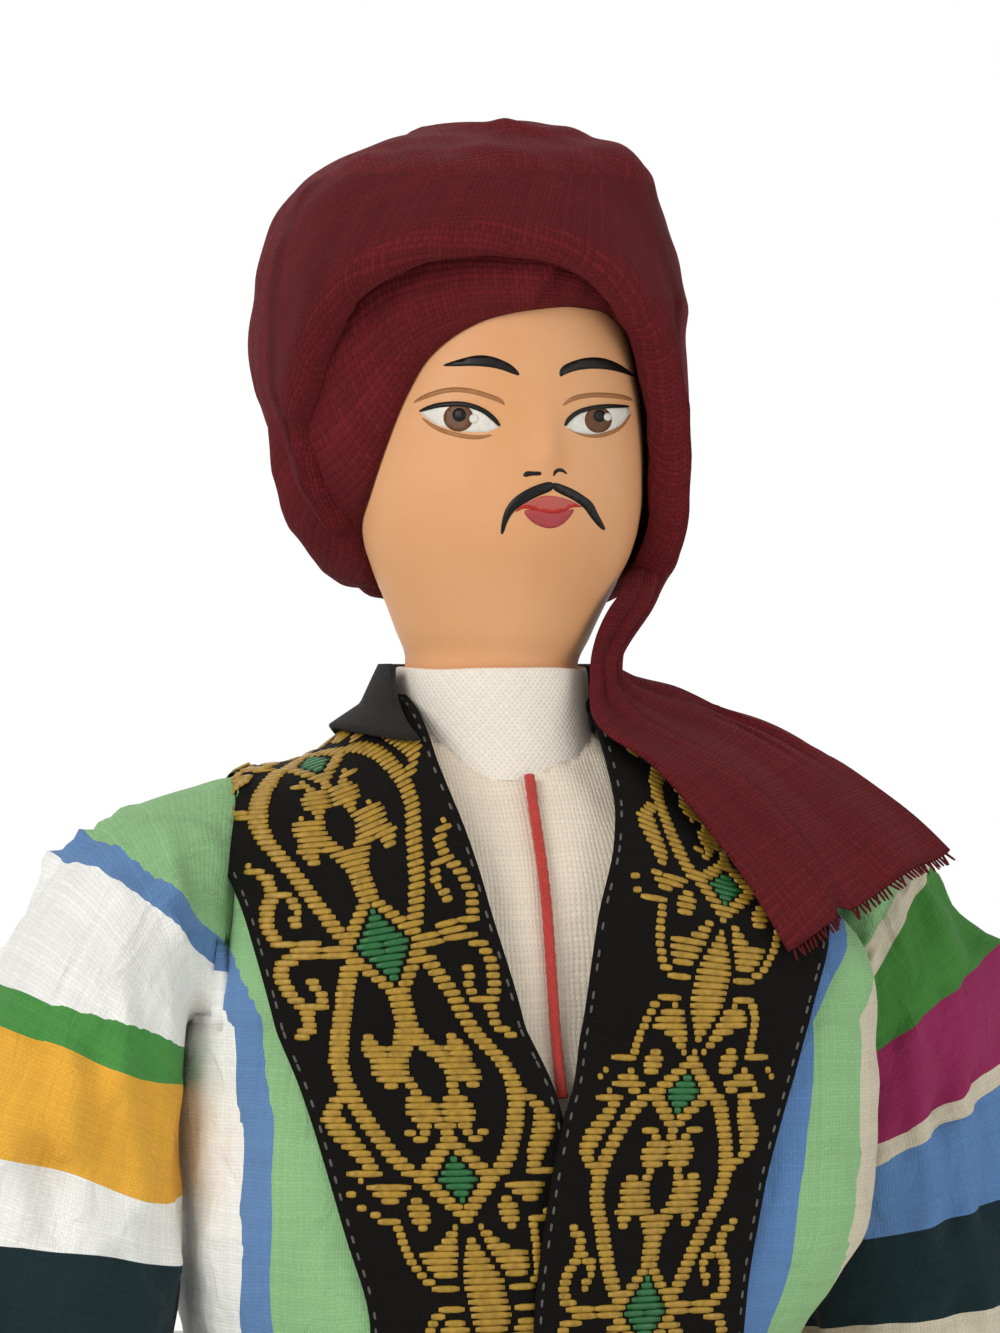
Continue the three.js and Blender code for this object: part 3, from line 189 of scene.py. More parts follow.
def lengths(line: Array) -> Array:
    """Gives the way along a line at each of its points."""
    return np.concatenate([[0], np.cumsum(np.linalg.norm(np.diff(line, axis=0), axis=1))])


class Table:
    """Rows of numbers, read at any place between them along smooth, monotone curves."""

    def __init__(self, rows: Sequence[Sequence[float]]) -> None:
        """Takes the rows, each with its place first, and works out their slopes.

        Args:
            rows: the rows, in any order.
        """
        data = np.array(sorted(rows), float)
        self.at, self.value = data[:, 0], data[:, 1:]
        step = np.diff(self.at)[:, None]
        slope = np.diff(self.value, axis=0) / step
        tangent = np.zeros_like(self.value)
        tangent[0], tangent[-1] = slope[0], slope[-1]
        before, after = slope[:-1], slope[1:]
        same = before * after > 0
        mean = np.where(same, 2 * before * after / np.where(same, before + after, 1), 0)
        tangent[1:-1] = mean
        self.tangent = tangent

    def __call__(self, place: Numbers) -> Array:
        """Reads the table.

        Args:
            place: one place or an array of them.

        Returns:
            The values there. Several columns are the last axis, and a single one has none.
        """
        place = np.clip(np.asarray(place, float), self.at[0], self.at[-1])
        i = np.clip(np.searchsorted(self.at, place, side="right") - 1, 0, len(self.at) - 2)
        step = (self.at[i + 1] - self.at[i])[..., None]
        t = (place - self.at[i])[..., None] / step
        a, b = self.value[i], self.value[i + 1]
        ta, tb = self.tangent[i] * step, self.tangent[i + 1] * step
        value = (a * (1 + 2 * t) * (1 - t) ** 2 + ta * t * (1 - t) ** 2
                 + b * t * t * (3 - 2 * t) + tb * t * t * (t - 1))
        return value if value.shape[-1] > 1 else value[..., 0]


@dataclass
class Grid:
    """Points in rows and columns, from which one surface is made.

    Rows that go up and columns that go anticlockwise, seen from above, face outwards.
    """

    points: Array
    uv: Array | None = None
    wraps: bool = False
    keep: Array | None = None
    marks: dict[str, Array] = field(default_factory=dict)
    caps: bool = False
    flip: bool = False

    def normals(self) -> Array:
        """Gives the outward normal at each point.

        Returns:
            A unit way for each point.
        """
        if self.wraps:
            across = np.roll(self.points, -1, 1) - np.roll(self.points, 1, 1)
        else:
            across = np.gradient(self.points, axis=1)
        normal = np.cross(across, np.gradient(self.points, axis=0))
        normal /= np.maximum(np.linalg.norm(normal, axis=-1, keepdims=True), 1e-9)
        return -normal if self.flip else normal

    def push(self, distance: Numbers) -> None:
        """Moves each point outwards by a distance in mm."""
        self.points = self.points + self.normals() * np.asarray(distance, float)[..., None]

    def face_away(self, row: int, middle: Array) -> None:
        """Flips the faces if one row's look towards a middle."""
        if (self.normals()[row] * (self.points[row] - middle)).sum() < 0:
            self.flip = not self.flip

    def middles(self) -> Array:
        """Gives the middle of each face of a grid that wraps."""
        beside = np.roll(self.points, -1, 1)
        return (self.points[:-1] + self.points[1:] + beside[:-1] + beside[1:]) / 4

    def build(self, name: str) -> Object:
        """Makes the mesh object, in metres.

        Args:
            name: the object's name.

        Returns:
            The object, smooth shaded, with its weave map in mm and its marks as attributes.
        """
        rows, columns = self.points.shape[:2]
        spans = columns if self.wraps else columns - 1
        r, c = np.meshgrid(np.arange(rows - 1), np.arange(spans), indexing="ij")
        d = (c + 1) % columns
        quads = np.stack([r * columns + c, r * columns + d, (r + 1) * columns + d, (r + 1) * columns + c], -1)
        weave = self.uv if self.uv is not None else self.measured()
        corners = np.stack([weave[r, c], weave[r, c + 1], weave[r + 1, c + 1], weave[r + 1, c]], 2)
        shown = np.ones(r.shape, bool) if self.keep is None else self.keep
        quads, corners = quads[shown], corners[shown]
        if self.flip:
            quads, corners = quads[:, ::-1], corners[:, ::-1]
        used, inverse = np.unique(quads, return_inverse=True)
        faces = inverse.reshape(quads.shape).tolist()
        corners = corners.reshape(-1, 2)
        if self.caps:
            for row in (0, rows - 1):
                loop = [int(np.searchsorted(used, row * columns + k)) for k in range(columns)]
                loop = loop[::-1] if (row == 0) != self.flip else loop
                faces.append(loop)
                corners = np.vstack([corners, np.zeros((columns, 2))])
        points = self.points.reshape(-1, 3)[used]
        piece = mesh_piece(name, points, faces, corners)
        for mark, values in self.marks.items():
            attribute = piece.data.attributes.new(mark, "FLOAT", "POINT")
            attribute.data.foreach_set("value", values.reshape(-1)[used].astype(np.float32))
        return piece

    def measured(self) -> Array:
        """Works out a weave map from the lengths of the grid's own middle row and column.

        Returns:
            The weave map in mm, a pair for each point.
        """
        points = self.points
        if self.wraps:
            points = np.concatenate([points, points[:, :1]], 1)
        across = np.linalg.norm(np.diff(points, axis=1), axis=2)
        along = np.linalg.norm(np.diff(points, axis=0), axis=2).mean(1)
        u = np.concatenate([[0], np.cumsum(across[np.argmax(across.sum(1))])])
        v = np.concatenate([[0], np.cumsum(along)])
        return np.stack(np.meshgrid(u, v), -1)


def mesh_piece(name: str, points: Array, faces: list, corners: Array | None = None,
               flat: bool = False) -> Object:
    """Makes a mesh object in the scene.

    Args:
        name: the object's name.
        points: the points, in mm.
        faces: point numbers of each face.
        corners: the weave map in mm, one pair for each face corner.
        flat: whether the faces are shaded flat.

    Returns:
        The object.
    """
    mesh = bpy.data.meshes.new(name)
    mesh.from_pydata((np.asarray(points) * MM).tolist(), [], faces)
    if corners is not None:
        layer = mesh.uv_layers.new(name="weave")
        layer.data.foreach_set("uv", np.asarray(corners, np.float32).ravel())
    mesh.polygons.foreach_set("use_smooth", [not flat] * len(mesh.polygons))
    mesh.update()
    piece = bpy.data.objects.new(name, mesh)
    bpy.context.scene.collection.objects.link(piece)
    return piece


def settled(piece: Object) -> Object:
    """Applies every modifier of a piece and gives the piece back.

    Args:
        piece: the piece, with its modifiers.

    Returns:
        The same object, with the mesh that they make.
    """
    graph = bpy.context.evaluated_depsgraph_get()
    graph.update()
    mesh = bpy.data.meshes.new_from_object(piece.evaluated_get(graph), depsgraph=graph)
    piece.modifiers.clear()
    piece.data = mesh
    return piece


def thicken(piece: Object, wall: float, inwards: bool = True) -> Object:
    """Gives a sheet its thickness in mm, inwards or outwards, and applies it.

    Args:
        piece: the sheet.
        wall: its thickness in mm.
        inwards: whether it grows against the normals.

    Returns:
        The piece.
    """
    wall_maker = piece.modifiers.new("wall", "SOLIDIFY")
    wall_maker.thickness = wall * MM
    wall_maker.offset = -1 if inwards else 1
    wall_maker.use_even_offset = False
    return settled(piece)


def welded(piece: Object, reach: float = 0.01) -> Object:
    """Merges points that lie within a reach in mm of each other.

    Args:
        piece: the piece.
        reach: the distance in mm.

    Returns:
        The piece.
    """
    mesh = bmesh.new()
    mesh.from_mesh(piece.data)
    bmesh.ops.remove_doubles(mesh, verts=mesh.verts, dist=reach * MM)
    mesh.to_mesh(piece.data)
    mesh.free()
    return piece


def joined(name: str, pieces: Sequence[Object]) -> Object:
    """Makes one object of several, which are used up, with their maps and marks kept.

    Args:
        name: the new object's name.
        pieces: the objects.

    Returns:
        The new object.
    """
    first = pieces[0]
    with bpy.context.temp_override(active_object=first, object=first, selected_objects=list(pieces),
                                   selected_editable_objects=list(pieces)):
        bpy.ops.object.join()
    first.name = name
    first.data.name = name
    return first


def surface_of(*pieces: Object) -> BVHTree:
    """Gives one search tree, in metres, over the surfaces of some pieces.

    Args:
        *pieces: the pieces.

    Returns:
        The tree.
    """
    points: list = []
    faces: list = []
    for piece in pieces:
        start = len(points)
        points += [vertex.co.copy() for vertex in piece.data.vertices]
        faces += [[start + k for k in polygon.vertices] for polygon in piece.data.polygons]
    return BVHTree.FromPolygons(points, faces)


def place(piece: Object, finish: "Finish", slot: str, body: Body | None, *nodes: str,
          flat: tuple[float, float] | None = None, held: Held = Held.HUNG,
          rests_on: Sequence[str] = ("robe_body",)) -> Object:
    """Dresses a piece, hangs it on the body that it rides on, and hides the solids that it stands for.

    Args:
        piece: the finished object.
        finish: its finish.
        slot: the record's material slot for it; not used.
        body: the body that it rides on, or None where it rides on none.
        *nodes: the solids that it stands for.
        flat: a sheet's width and length lying flat, in metres.
        held: how a sheet is held; not used.
        rests_on: what a sheet lies on.

    Returns:
        The piece.
    """
    piece.data.materials.clear()
    piece.data.materials.append(finish.make())
    if body:
        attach(piece, body.value)
    if nodes:
        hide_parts(*nodes)
    if flat:
        list(rests_on)
    LOG.info("%s: %d faces", piece.name, len(piece.data.polygons))
    return piece


@dataclass(frozen=True)
class PhotoCamera:
    """The camera of the photograph, and the sight lines through its 1000 x 1333 picture."""

    azimuth: float = -18.0
    distance: float = 600.0
    scale: float = 8.5
    centre: tuple[float, float] = (500.0, 666.5)
    middle: tuple[float, float] = (1.06, 246.7)
    lens: float = 137.7

    @property
    def right(self) -> Array:
        """The level way to the camera's right."""
        turn = math.radians(self.azimuth)
        return np.array([math.cos(turn), math.sin(turn), 0.0])

    @property
    def near(self) -> Array:
        """The level way from the doll towards the camera."""
        turn = math.radians(self.azimuth)
        return np.array([math.sin(turn), -math.cos(turn), 0.0])

    @property
    def place(self) -> Array:
        """The camera's place in mm."""
        return self.right * self.middle[0] + self.near * self.distance + np.array([0, 0, self.middle[1]])

    def flat(self, pixel: Sequence[float]) -> tuple[float, float]:
        """Gives a pixel's place across and up, in mm, on the upright plane through the axis."""
        across = self.middle[0] + (pixel[0] - self.centre[0]) / self.scale
        return across, self.middle[1] - (pixel[1] - self.centre[1]) / self.scale

    def hit(self, pixel: Sequence[float], tree: BVHTree) -> tuple[Vector, Vector] | None:
        """Finds where a pixel's sight line meets a surface: the place and normal in metres, or None.

        Args:
            pixel: the pixel, across and down.
            tree: the surface.

        Returns:
            The place and the normal, or None if the line misses.
        """
        across, height = self.flat(pixel)
        aim = self.right * across + np.array([0, 0, height])
        start = Vector(self.place * MM)
        found = tree.ray_cast(start, (Vector(aim * MM) - start).normalized())
        return None if found[0] is None else (found[0], found[1])

    def make(self) -> None:
        """Adds the camera to the scene."""
        data = bpy.data.cameras.new("camera")
        data.lens = self.lens
        data.sensor_width = 36
        data.clip_start = 0.01
        camera = bpy.data.objects.new("camera", data)
        camera.location = Vector(self.place * MM)
        camera.rotation_euler = (math.pi / 2, 0, math.radians(self.azimuth))
        bpy.context.scene.collection.objects.link(camera)
        bpy.context.scene.camera = camera


CAMERA = PhotoCamera()


def new_finish(name: str) -> tuple[Material, AddNode]:
    """Starts an empty material, and gives it with the function that adds its nodes.

    Args:
        name: the material's name.

    Returns:
        The material and the function.
    """
    material = bpy.data.materials.new(name)
    material.use_nodes = True
    material.node_tree.nodes.clear()
    return material, partial(add, material.node_tree)


def plain_weave() -> NodeTree:
    """Builds the node group that crosses warp and weft, one over and one under.

    Returns:
        A group that takes a place counted in threads and gives height, gap and the thread's own shade.
    """
    group = bpy.data.node_groups.new("plain_weave", "ShaderNodeTree")
    group.interface.new_socket("Threads", in_out="INPUT", socket_type="NodeSocketVector")
    for name in ("Height", "Gap", "Shade"):
        group.interface.new_socket(name, in_out="OUTPUT", socket_type="NodeSocketFloat")
    node = partial(add, group)
    place_in = node("SeparateXYZ", [node("NodeGroupInput")])
    humps, numbers = [], []
    for axis in place_in.outputs[:2]:
        turned = node("Math", [node("Math", [axis], "FRACT"), math.pi], "MULTIPLY")
        humps.append(node("Math", [turned], "SINE"))
        numbers.append(node("Math", [axis], "FLOOR"))
    odd = node("Math", [node("Math", numbers, "ADD"), 2.0], "FLOORED_MODULO")
    side = node("Math", [odd, 2.0, -1.0], "MULTIPLY_ADD")
    heights = []
    for own, other, lift in ((0, 1, 0.4), (1, 0, -0.4)):
        sway = node("Math", [side, humps[other]], "MULTIPLY")
        rise = node("Math", [sway, lift, 0.6], "MULTIPLY_ADD")
        root = node("Math", [humps[own], 0.5], "POWER")
        heights.append(node("Math", [root, rise], "MULTIPLY"))
    top = node("Math", heights, "MAXIMUM")
    over = node("Math", heights, "GREATER_THAN")
    weft = node("Math", [numbers[1], 57.3], "ADD")
    thread = node("Mix", {0: over, 2: weft, 3: numbers[0]})
    shade = node("TexWhiteNoise", {"W": thread}, noise_dimensions="1D")
    gap = node("MapRange", [top, 0.5, 0.15], interpolation_type="SMOOTHSTEP")
    node("NodeGroupOutput", [top, gap, shade])
    return group


WEAVE_GROUP = plain_weave()


@dataclass(frozen=True)
class WovenCloth:
    """A plain-woven cloth, with its threads drawn at their real pitch in mm, and painted shade between them.
    """

    name: str
    tops: tuple[str, ...]
    pitch: float
    # Painted shade: how bright the colour stays where the threads dip apart, 1 for none.
    painted_gap_shade: float = 0.45
    uneven: float = 0.16
    mottle: float = 0.12
    bias: float = 0.0
    wander: float = 0.35
    bump: float = 0.12
    roughness: float = 0.9
    sheen: float = 0.25
    sheen_tint: str = "#FFFFFF"
    crumple: float = 0.2
    shine: float = 0.2

    @cache
    def make(self) -> Material:
        """Builds the cloth's material once, striped along the stripe mark where it has several tops.

        Returns:
            The material.
        """
        material, node = new_finish(self.name)
        noise = partial(node, "TexNoise", noise_dimensions="2D")
        flat = node("UVMap", uv_map="weave")
        drift = noise({"Vector": flat, "Scale": 0.12, "Detail": 2.0}).outputs["Color"]
        centred = node("VectorMath", [drift, (0.5, 0.5, 0.5)], "SUBTRACT")
        threads = node("Mapping", {0: flat, 2: (0, 0, math.radians(self.bias)),
                                   3: (1 / self.pitch, 1 / self.pitch, 1)})
        sway = 6 * self.wander
        bent = node("VectorMath", [centred, (sway, sway, 0), threads], "MULTIPLY_ADD")
        height, gap, own = node("Group", [bent], node_tree=WEAVE_GROUP).outputs
        # Painted shade: the dye is darkened where the weave dips between its threads, as shadow there.
        painted_gap_shadow = node("Math", [gap, self.painted_gap_shade - 1, 1.0], "MULTIPLY_ADD")
        slubs = node("Math", [own, self.uneven, 1 - self.uneven / 2], "MULTIPLY_ADD")
        patch = noise({"Vector": flat, "Scale": 0.06, "Detail": 4.0})
        patches = node("Math", [patch, 2 * self.mottle, 1 - self.mottle], "MULTIPLY_ADD")
        # The dye's scale: painted shade between the threads, times each thread's own tone and the cloth's
        # patches.
        shade = node("Math", [node("Math", [painted_gap_shadow, slubs], "MULTIPLY"), patches], "MULTIPLY")
        fuzz = noise({"Vector": flat, "Scale": 4 / self.pitch, "Detail": 2.0})
        relief = node("Math", [fuzz, 0.25, height], "MULTIPLY_ADD")
        creases = noise({"Vector": flat, "Scale": 0.16, "Detail": 3.0, "Roughness": 0.45, "Distortion": 0.6})
        relief = node("Math", [creases, self.crumple / self.bump, relief], "MULTIPLY_ADD")
        shader = node("BsdfPrincipled", {
            "Base Color": node("VectorMath", {0: self.dye(node), 3: shade}, "SCALE"),
            "Normal": node("Bump", {"Height": relief, "Distance": self.bump * MM, "Strength": 1.0}),
            "Roughness": self.roughness, "Sheen Weight": self.sheen, "Sheen Roughness": 0.6,
            "Sheen Tint": colour(self.sheen_tint), "Specular IOR Level": self.shine})
        node("OutputMaterial", [shader])
        return material

    def dye(self, node: AddNode) -> Node | tuple[float, float, float]:
        """Gives the cloth's linear colour, or the node with its stripes in order along the stripe mark.

        Args:
            node: adds a node to the material.

        Returns:
            The colour, or the node that gives it.
        """
        count = len(self.tops)
        if count == 1:
            return colour(self.tops[0])[:3]
        mark = node("Attribute", attribute_name="stripe").outputs["Fac"]
        ramp = node("ValToRGB", [node("Math", [mark, 1 / count], "MULTIPLY")])
        ramp.color_ramp.interpolation = "CONSTANT"
        stops = ramp.color_ramp.elements
        stops[1].position = 1 / count
        for number in range(2, count):
            stops.new(number / count)
        for stop, top in zip(stops, self.tops):
            stop.color = colour(top)
        return ramp


@dataclass(frozen=True)
class PlainFinish:
    """A finish with soft mottling, fine grain and a worn or rubbed unevenness of its gloss."""

    name: str
    base: str
    deep: str
    grain: tuple[float, float, float] = (1.0, 1.0, 1.0)
    grain_size: float = 0.8
    contrast: float = 1.0
    roughness: tuple[float, float] = (0.42, 0.55)
    bump: float = 0.02
    bump_size: float = 0.3
    coat: float = 0.0
    metallic: float = 0.0
    sheen: float = 0.0
    under: float = 0.0
    shine: float = 0.5

    @cache
    def make(self) -> Material:
        """Builds the finish's material once, from Object coordinates, so it needs no map.

        Returns:
            The material.
        """
        material, node = new_finish(self.name)
        spot = node("TexCoord").outputs["Object"]
        stretch = node("Mapping", {0: spot, 3: tuple(g / MM for g in self.grain)})
        grain = node("TexNoise", {"Vector": stretch, "Scale": 1 / self.grain_size, "Detail": 6.0,
                                  "Roughness": 0.6})
        fine = node("TexNoise", {"Vector": stretch, "Scale": 1 / self.bump_size, "Detail": 4.0})
        spread = 0.25 / self.contrast
        level = node("MapRange", [grain, 0.5 - spread, 0.5 + spread])
        tint = node("Mix", {0: level, 6: colour(self.deep), 7: colour(self.base)}, data_type="RGBA")
        shader = node("BsdfPrincipled", {
            "Base Color": tint.outputs[2],
            "Roughness": node("MapRange", [grain, 0.3, 0.7, self.roughness[1], self.roughness[0]]),
            "Normal": node("Bump", {"Height": fine, "Distance": self.bump * MM, "Strength": 1.0}),
            "Coat Weight": self.coat, "Coat Roughness": 0.2, "Metallic": self.metallic,
            "Specular IOR Level": self.shine, "Sheen Weight": self.sheen, "Subsurface Weight": self.under,
            "Subsurface Radius": (2.0 * MM, 0.8 * MM, 0.5 * MM), "Subsurface Scale": 1.0})
        node("OutputMaterial", [shader])
        return material


Finish = WovenCloth | PlainFinish


@dataclass(frozen=True)
class Finishes:
    """Every finish of the doll but the face painter's enamels."""

    # Wool muslin, wrapped: dry, with soft fuzzy thread tops and painted shade between them.
    turban: Finish = WovenCloth(
        "turban_wool", ("#66191D",), 0.55, 0.25, 0.35, 0.16, bias=8, wander=0.12, bump=0.25, roughness=0.95,
        sheen=0.12, sheen_tint="#9A4A50")
    # Striped handloom cotton of the coat's right half: matt, with slight ribs along the stripes.
    right_stripes: Finish = WovenCloth(
        "striped_cotton_right", ("#1A2E32", "#962C5A", "#D6CCB4", "#93C088", "#668AB8", "#F8F7F1", "#4F9448",
                                 "#EDB040", "#F8F7F1", "#1A2E32", "#93C088", "#668AB8"),
        0.42, 0.6, 0.12, 0.07, bump=0.07, sheen=0.06, crumple=1.0, shine=0.12)
    # The same cloth from another stretch of the bolt, as the left half was cut.
    left_stripes: Finish = WovenCloth(
        "striped_cotton_left", ("#1A2E32", "#962C5A", "#D6CCB4", "#5F86B8", "#93C088", "#D6CCB4", "#48863C",
                                "#962C5A", "#D6CCB4", "#5F86B8", "#1A2E32", "#D6CCB4", "#EDB040"),
        0.42, 0.6, 0.12, 0.07, bump=0.07, sheen=0.06, crumple=1.0, shine=0.12)
    # Even-weave cotton of the shirt: open grid of fine holes, drawn as painted shade between the threads.
    shirt: Finish = WovenCloth(
        "even_weave_cotton", ("#F4E6D0",), 0.57, 0.62, 0.08, 0.05, bump=0.1, wander=0.25, sheen=0.1)
    # Collar strip cut on the bias, so its holes, drawn as painted shade, run slanting.
    collar: Finish = WovenCloth(
        "bias_cotton", ("#F8EEDF",), 0.55, 0.6, 0.06, 0.04, bias=45, bump=0.09, wander=0.15, sheen=0.1)
    # Mercerised cotton cord: bright red, slightly glossy, twisted.
    cord: Finish = WovenCloth(
        "red_cotton_cord", ("#C2382E",), 0.4, 0.5, 0.2, 0.1, bias=40, bump=0.1, roughness=0.75)
    # Black ground of the woven ribbon: cross ribs with a faint silk gloss.
    ribbon_ground: Finish = WovenCloth(
        "ribbon_ground", ("#0F0D0A",), 0.38, 0.35, 0.35, 0.15, wander=0.03, roughness=0.85, sheen=0.0,
        shine=0.12)
    # Cotton band at the back of the neck: plain black, dry.
    neck_band: Finish = WovenCloth(
        "black_band_cotton", ("#282623",), 0.4, 0.4, 0.2, bump=0.1, sheen=0.04, shine=0.12)
    # Wool sash in the turban's dye, a little lighter where it's rubbed.
    sash: Finish = WovenCloth(
        "sash_wool", ("#661A1E",), 0.5, 0.34, 0.25, 0.14, bump=0.18, roughness=0.95, sheen=0.12,
        sheen_tint="#9A4A50")
    # Navy cotton of the trousers: plain and matt.
    trousers: Finish = WovenCloth("trouser_cotton", ("#2A3346",), 0.45, 0.55, 0.15, 0.1, bump=0.1)
    # Cotton wadding: matt, lumpy, off-white fibres.
    wadding: Finish = PlainFinish(
        "cotton_wadding", "#E6E1D4", "#CFC8B8", (1, 1, 0.5), 3.0, 1.0, (0.95, 1.0), 0.4, 0.8, sheen=0.4)
    # Gold metallic-look thread of the ribbon: satin, each float catches light on its back.
    gold: Finish = PlainFinish("gold_thread", "#BA922B", "#8A6919", contrast=1.2)
    # Green rayon thread of the ribbon's lozenges: satin.
    green: Finish = PlainFinish("green_thread", "#186A2E", "#104E22")
    # Grey cotton stitches that hold the ribbon's edges: matt.
    stitch: Finish = PlainFinish("grey_stitching", "#5E5B52", "#4A4740", roughness=(0.7, 0.8))
    # Turned lime wood under skin-coloured emulsion: satin, with the faintest brush unevenness.
    skin: Finish = PlainFinish(
        "painted_skin", "#E9B182", "#E0A06C", (1, 1, 0.6), 14.0, 0.8, (0.42, 0.5), 0.015, 1.5, under=0.04,
        shine=0.22)
    # Bare lime wood of the core, the arms and the dowels: pale, fine straight grain.
    bare_wood: Finish = PlainFinish(
        "bare_lime_wood", "#DDBE92", "#C9A271", (1, 1, 0.12), 1.6, 1.3, (0.5, 0.62), 0.05, 0.5)
    # Varnished beech of the base: warm, glossy coat over short grain flecks.
    beech: Finish = PlainFinish(
        "varnished_beech", "#B9793F", "#8F5527", (0.12, 1, 1), 1.5, 1.4, (0.28, 0.38), 0.03, 0.6, coat=0.6)
    # Zinc-plated steel wire: bright and slightly drawn along its length.
    steel: Finish = PlainFinish(
        "zinc_wire", "#B9BCBE", "#94979A", (0.1, 1, 1), 1.0, 1.0, (0.3, 0.4), 0.01, 0.5, metallic=1.0)
    # Dyed goatskin of the boots: soft creased grain with a low polish.
    leather: Finish = PlainFinish(
        "dyed_goatskin", "#4A2519", "#331710", (1, 1, 1), 2.2, 1.2, (0.38, 0.55), 0.12, 0.7, coat=0.1)
    # Sole leather: dense, tan, rubbed at the edge.
    sole: Finish = PlainFinish(
        "sole_leather", "#8C6138", "#6B4626", (1, 1, 0.5), 1.8, 1.2, (0.5, 0.65), 0.06, 0.6)

    @staticmethod
    def enamel(name: str, base: str, gloss: float = 0.3) -> Finish:
        """Mixes one of the face painter's enamels, laid on by brush, from its colour and least roughness.

        Args:
            name: the enamel's name.
            base: its colour, as #RRGGBB.
            gloss: its least roughness.

        Returns:
            The finish.
        """
        deep = "#" + "".join(f"{int(int(base[i:i + 2], 16) * 0.88):02X}" for i in (1, 3, 5))
        return PlainFinish(f"{name}_enamel", base, deep, (1, 1, 1), 1.2, 0.9, (gloss, gloss + 0.12), 0.01,
                           0.5, shine=0.2)


FINISH = Finishes()


@dataclass
class BodyForm:
    """The dressed body's outline, on which the robe, its braids and the sash lie, in mm.

    girth gives the half width and the depths in front and behind by height, and ridge the shoulder's
    height by the way across.
    """

    chest: float = 206.0
    top: float = 241.0
    waist: float = 164.0
    fold_count: int = 7
    fold_depth: float = 1.1
    corner: tuple[float, float, float] = (41.2, 27.4, 7.0)
    girth: Table = Table([(66, 46, 39, 34), (111.5, 41.8, 34.2, 30.1), (150, 36.2, 28.7, 25.4),
                          (164, 35.8, 28.1, 24.7), (174, 37.3, 28, 24.8), (198, 37.6, 26.6, 24),
                          (206, 37.6, 24, 22), (212, 37.6, 24, 22)])
    ridge: Table = Table([(0, 243), (10, 243), (11, 242.7), (14, 240.5), (17, 238.6), (20, 236.6),
                          (24, 235), (29, 234.4), (34, 233.9), (38, 232.5), (42, 231)])

    def at(self, phi: Numbers, height: Numbers, lift: float = 0.0) -> Array:
        """Gives points of the outline.

        Args:
            phi: the angle round the axis, anticlockwise from the doll's left.
            height: the height, which past the chest counts on over the shoulder to its ridge.
            lift: how far outside the outline the points lie, in mm, below the shoulder.

        Returns:
            The points, with three numbers each.
        """
        phi, height = np.broadcast_arrays(np.asarray(phi, float), np.asarray(height, float))
        over = height > self.top
        phi = np.where(over, -phi, phi)
        height = np.where(over, 2 * self.top - height, height)
        level = np.minimum(height, self.chest)
        girth = self.girth(level)
        width, front, back = girth[..., 0], girth[..., 1], girth[..., 2]
        cos, sin = np.cos(phi), np.sin(phi)
        depth = np.where(sin < 0, front, back)
        power = 2.3 + 0.6 * smooth(self.waist, 178, level)
        reach = ((np.abs(cos) / width) ** power + (np.abs(sin) / depth) ** power) ** (-1 / power)
        wide, deep, square = self.corner
        boxed = ((np.abs(cos) / wide) ** square + (np.abs(sin) / deep) ** square) ** (-1 / square)
        turn = np.degrees(np.abs((phi + math.pi) % RING - math.pi))
        share = (smooth(4, 16, turn) * (1 - smooth(60, 85, turn)) * smooth(168, 184, height)
                 * (1 - smooth(212, 226, height)) * (sin < 0))
        reach = reach + (boxed - reach) * share
        folds = self.fold_depth * (1 - smooth(78, self.waist - 6, level))
        reach = reach + folds * np.cos(self.fold_count * phi + 0.9 * np.sin(2 * phi)) + lift
        x, y = reach * cos, reach * sin
        rise = np.sin(np.clip((height - self.chest) / (self.top - self.chest), 0, 1) * math.pi / 2)
        drop = np.sqrt(np.maximum(1 - rise * rise, 0))
        x = x * (1 - 0.1755 * (np.abs(x) / 37.6) ** 2 * rise ** 2)
        crest = self.ridge(np.abs(x)) + lift * rise - self.chest
        return np.stack([x, y * drop, level + crest * rise], -1)

    def turn_of(self, across: Array, height: Array) -> Array:
        """Finds the angles at which the front outline lies given ways across, a row for each height.

        Args:
            across: the ways across from the middle, in mm.
            height: the heights, in mm.

        Returns:
            The angles in radians.
        """
        turns = np.linspace(-math.pi + 0.2, -0.2, 400)
        found = np.empty_like(across)
        for row, level in enumerate(height):
            x = self.at(turns, min(level, 2 * self.top - level))[:, 0]
            found[row] = np.interp(across[row], x, turns)
        return found


FORM = BodyForm()


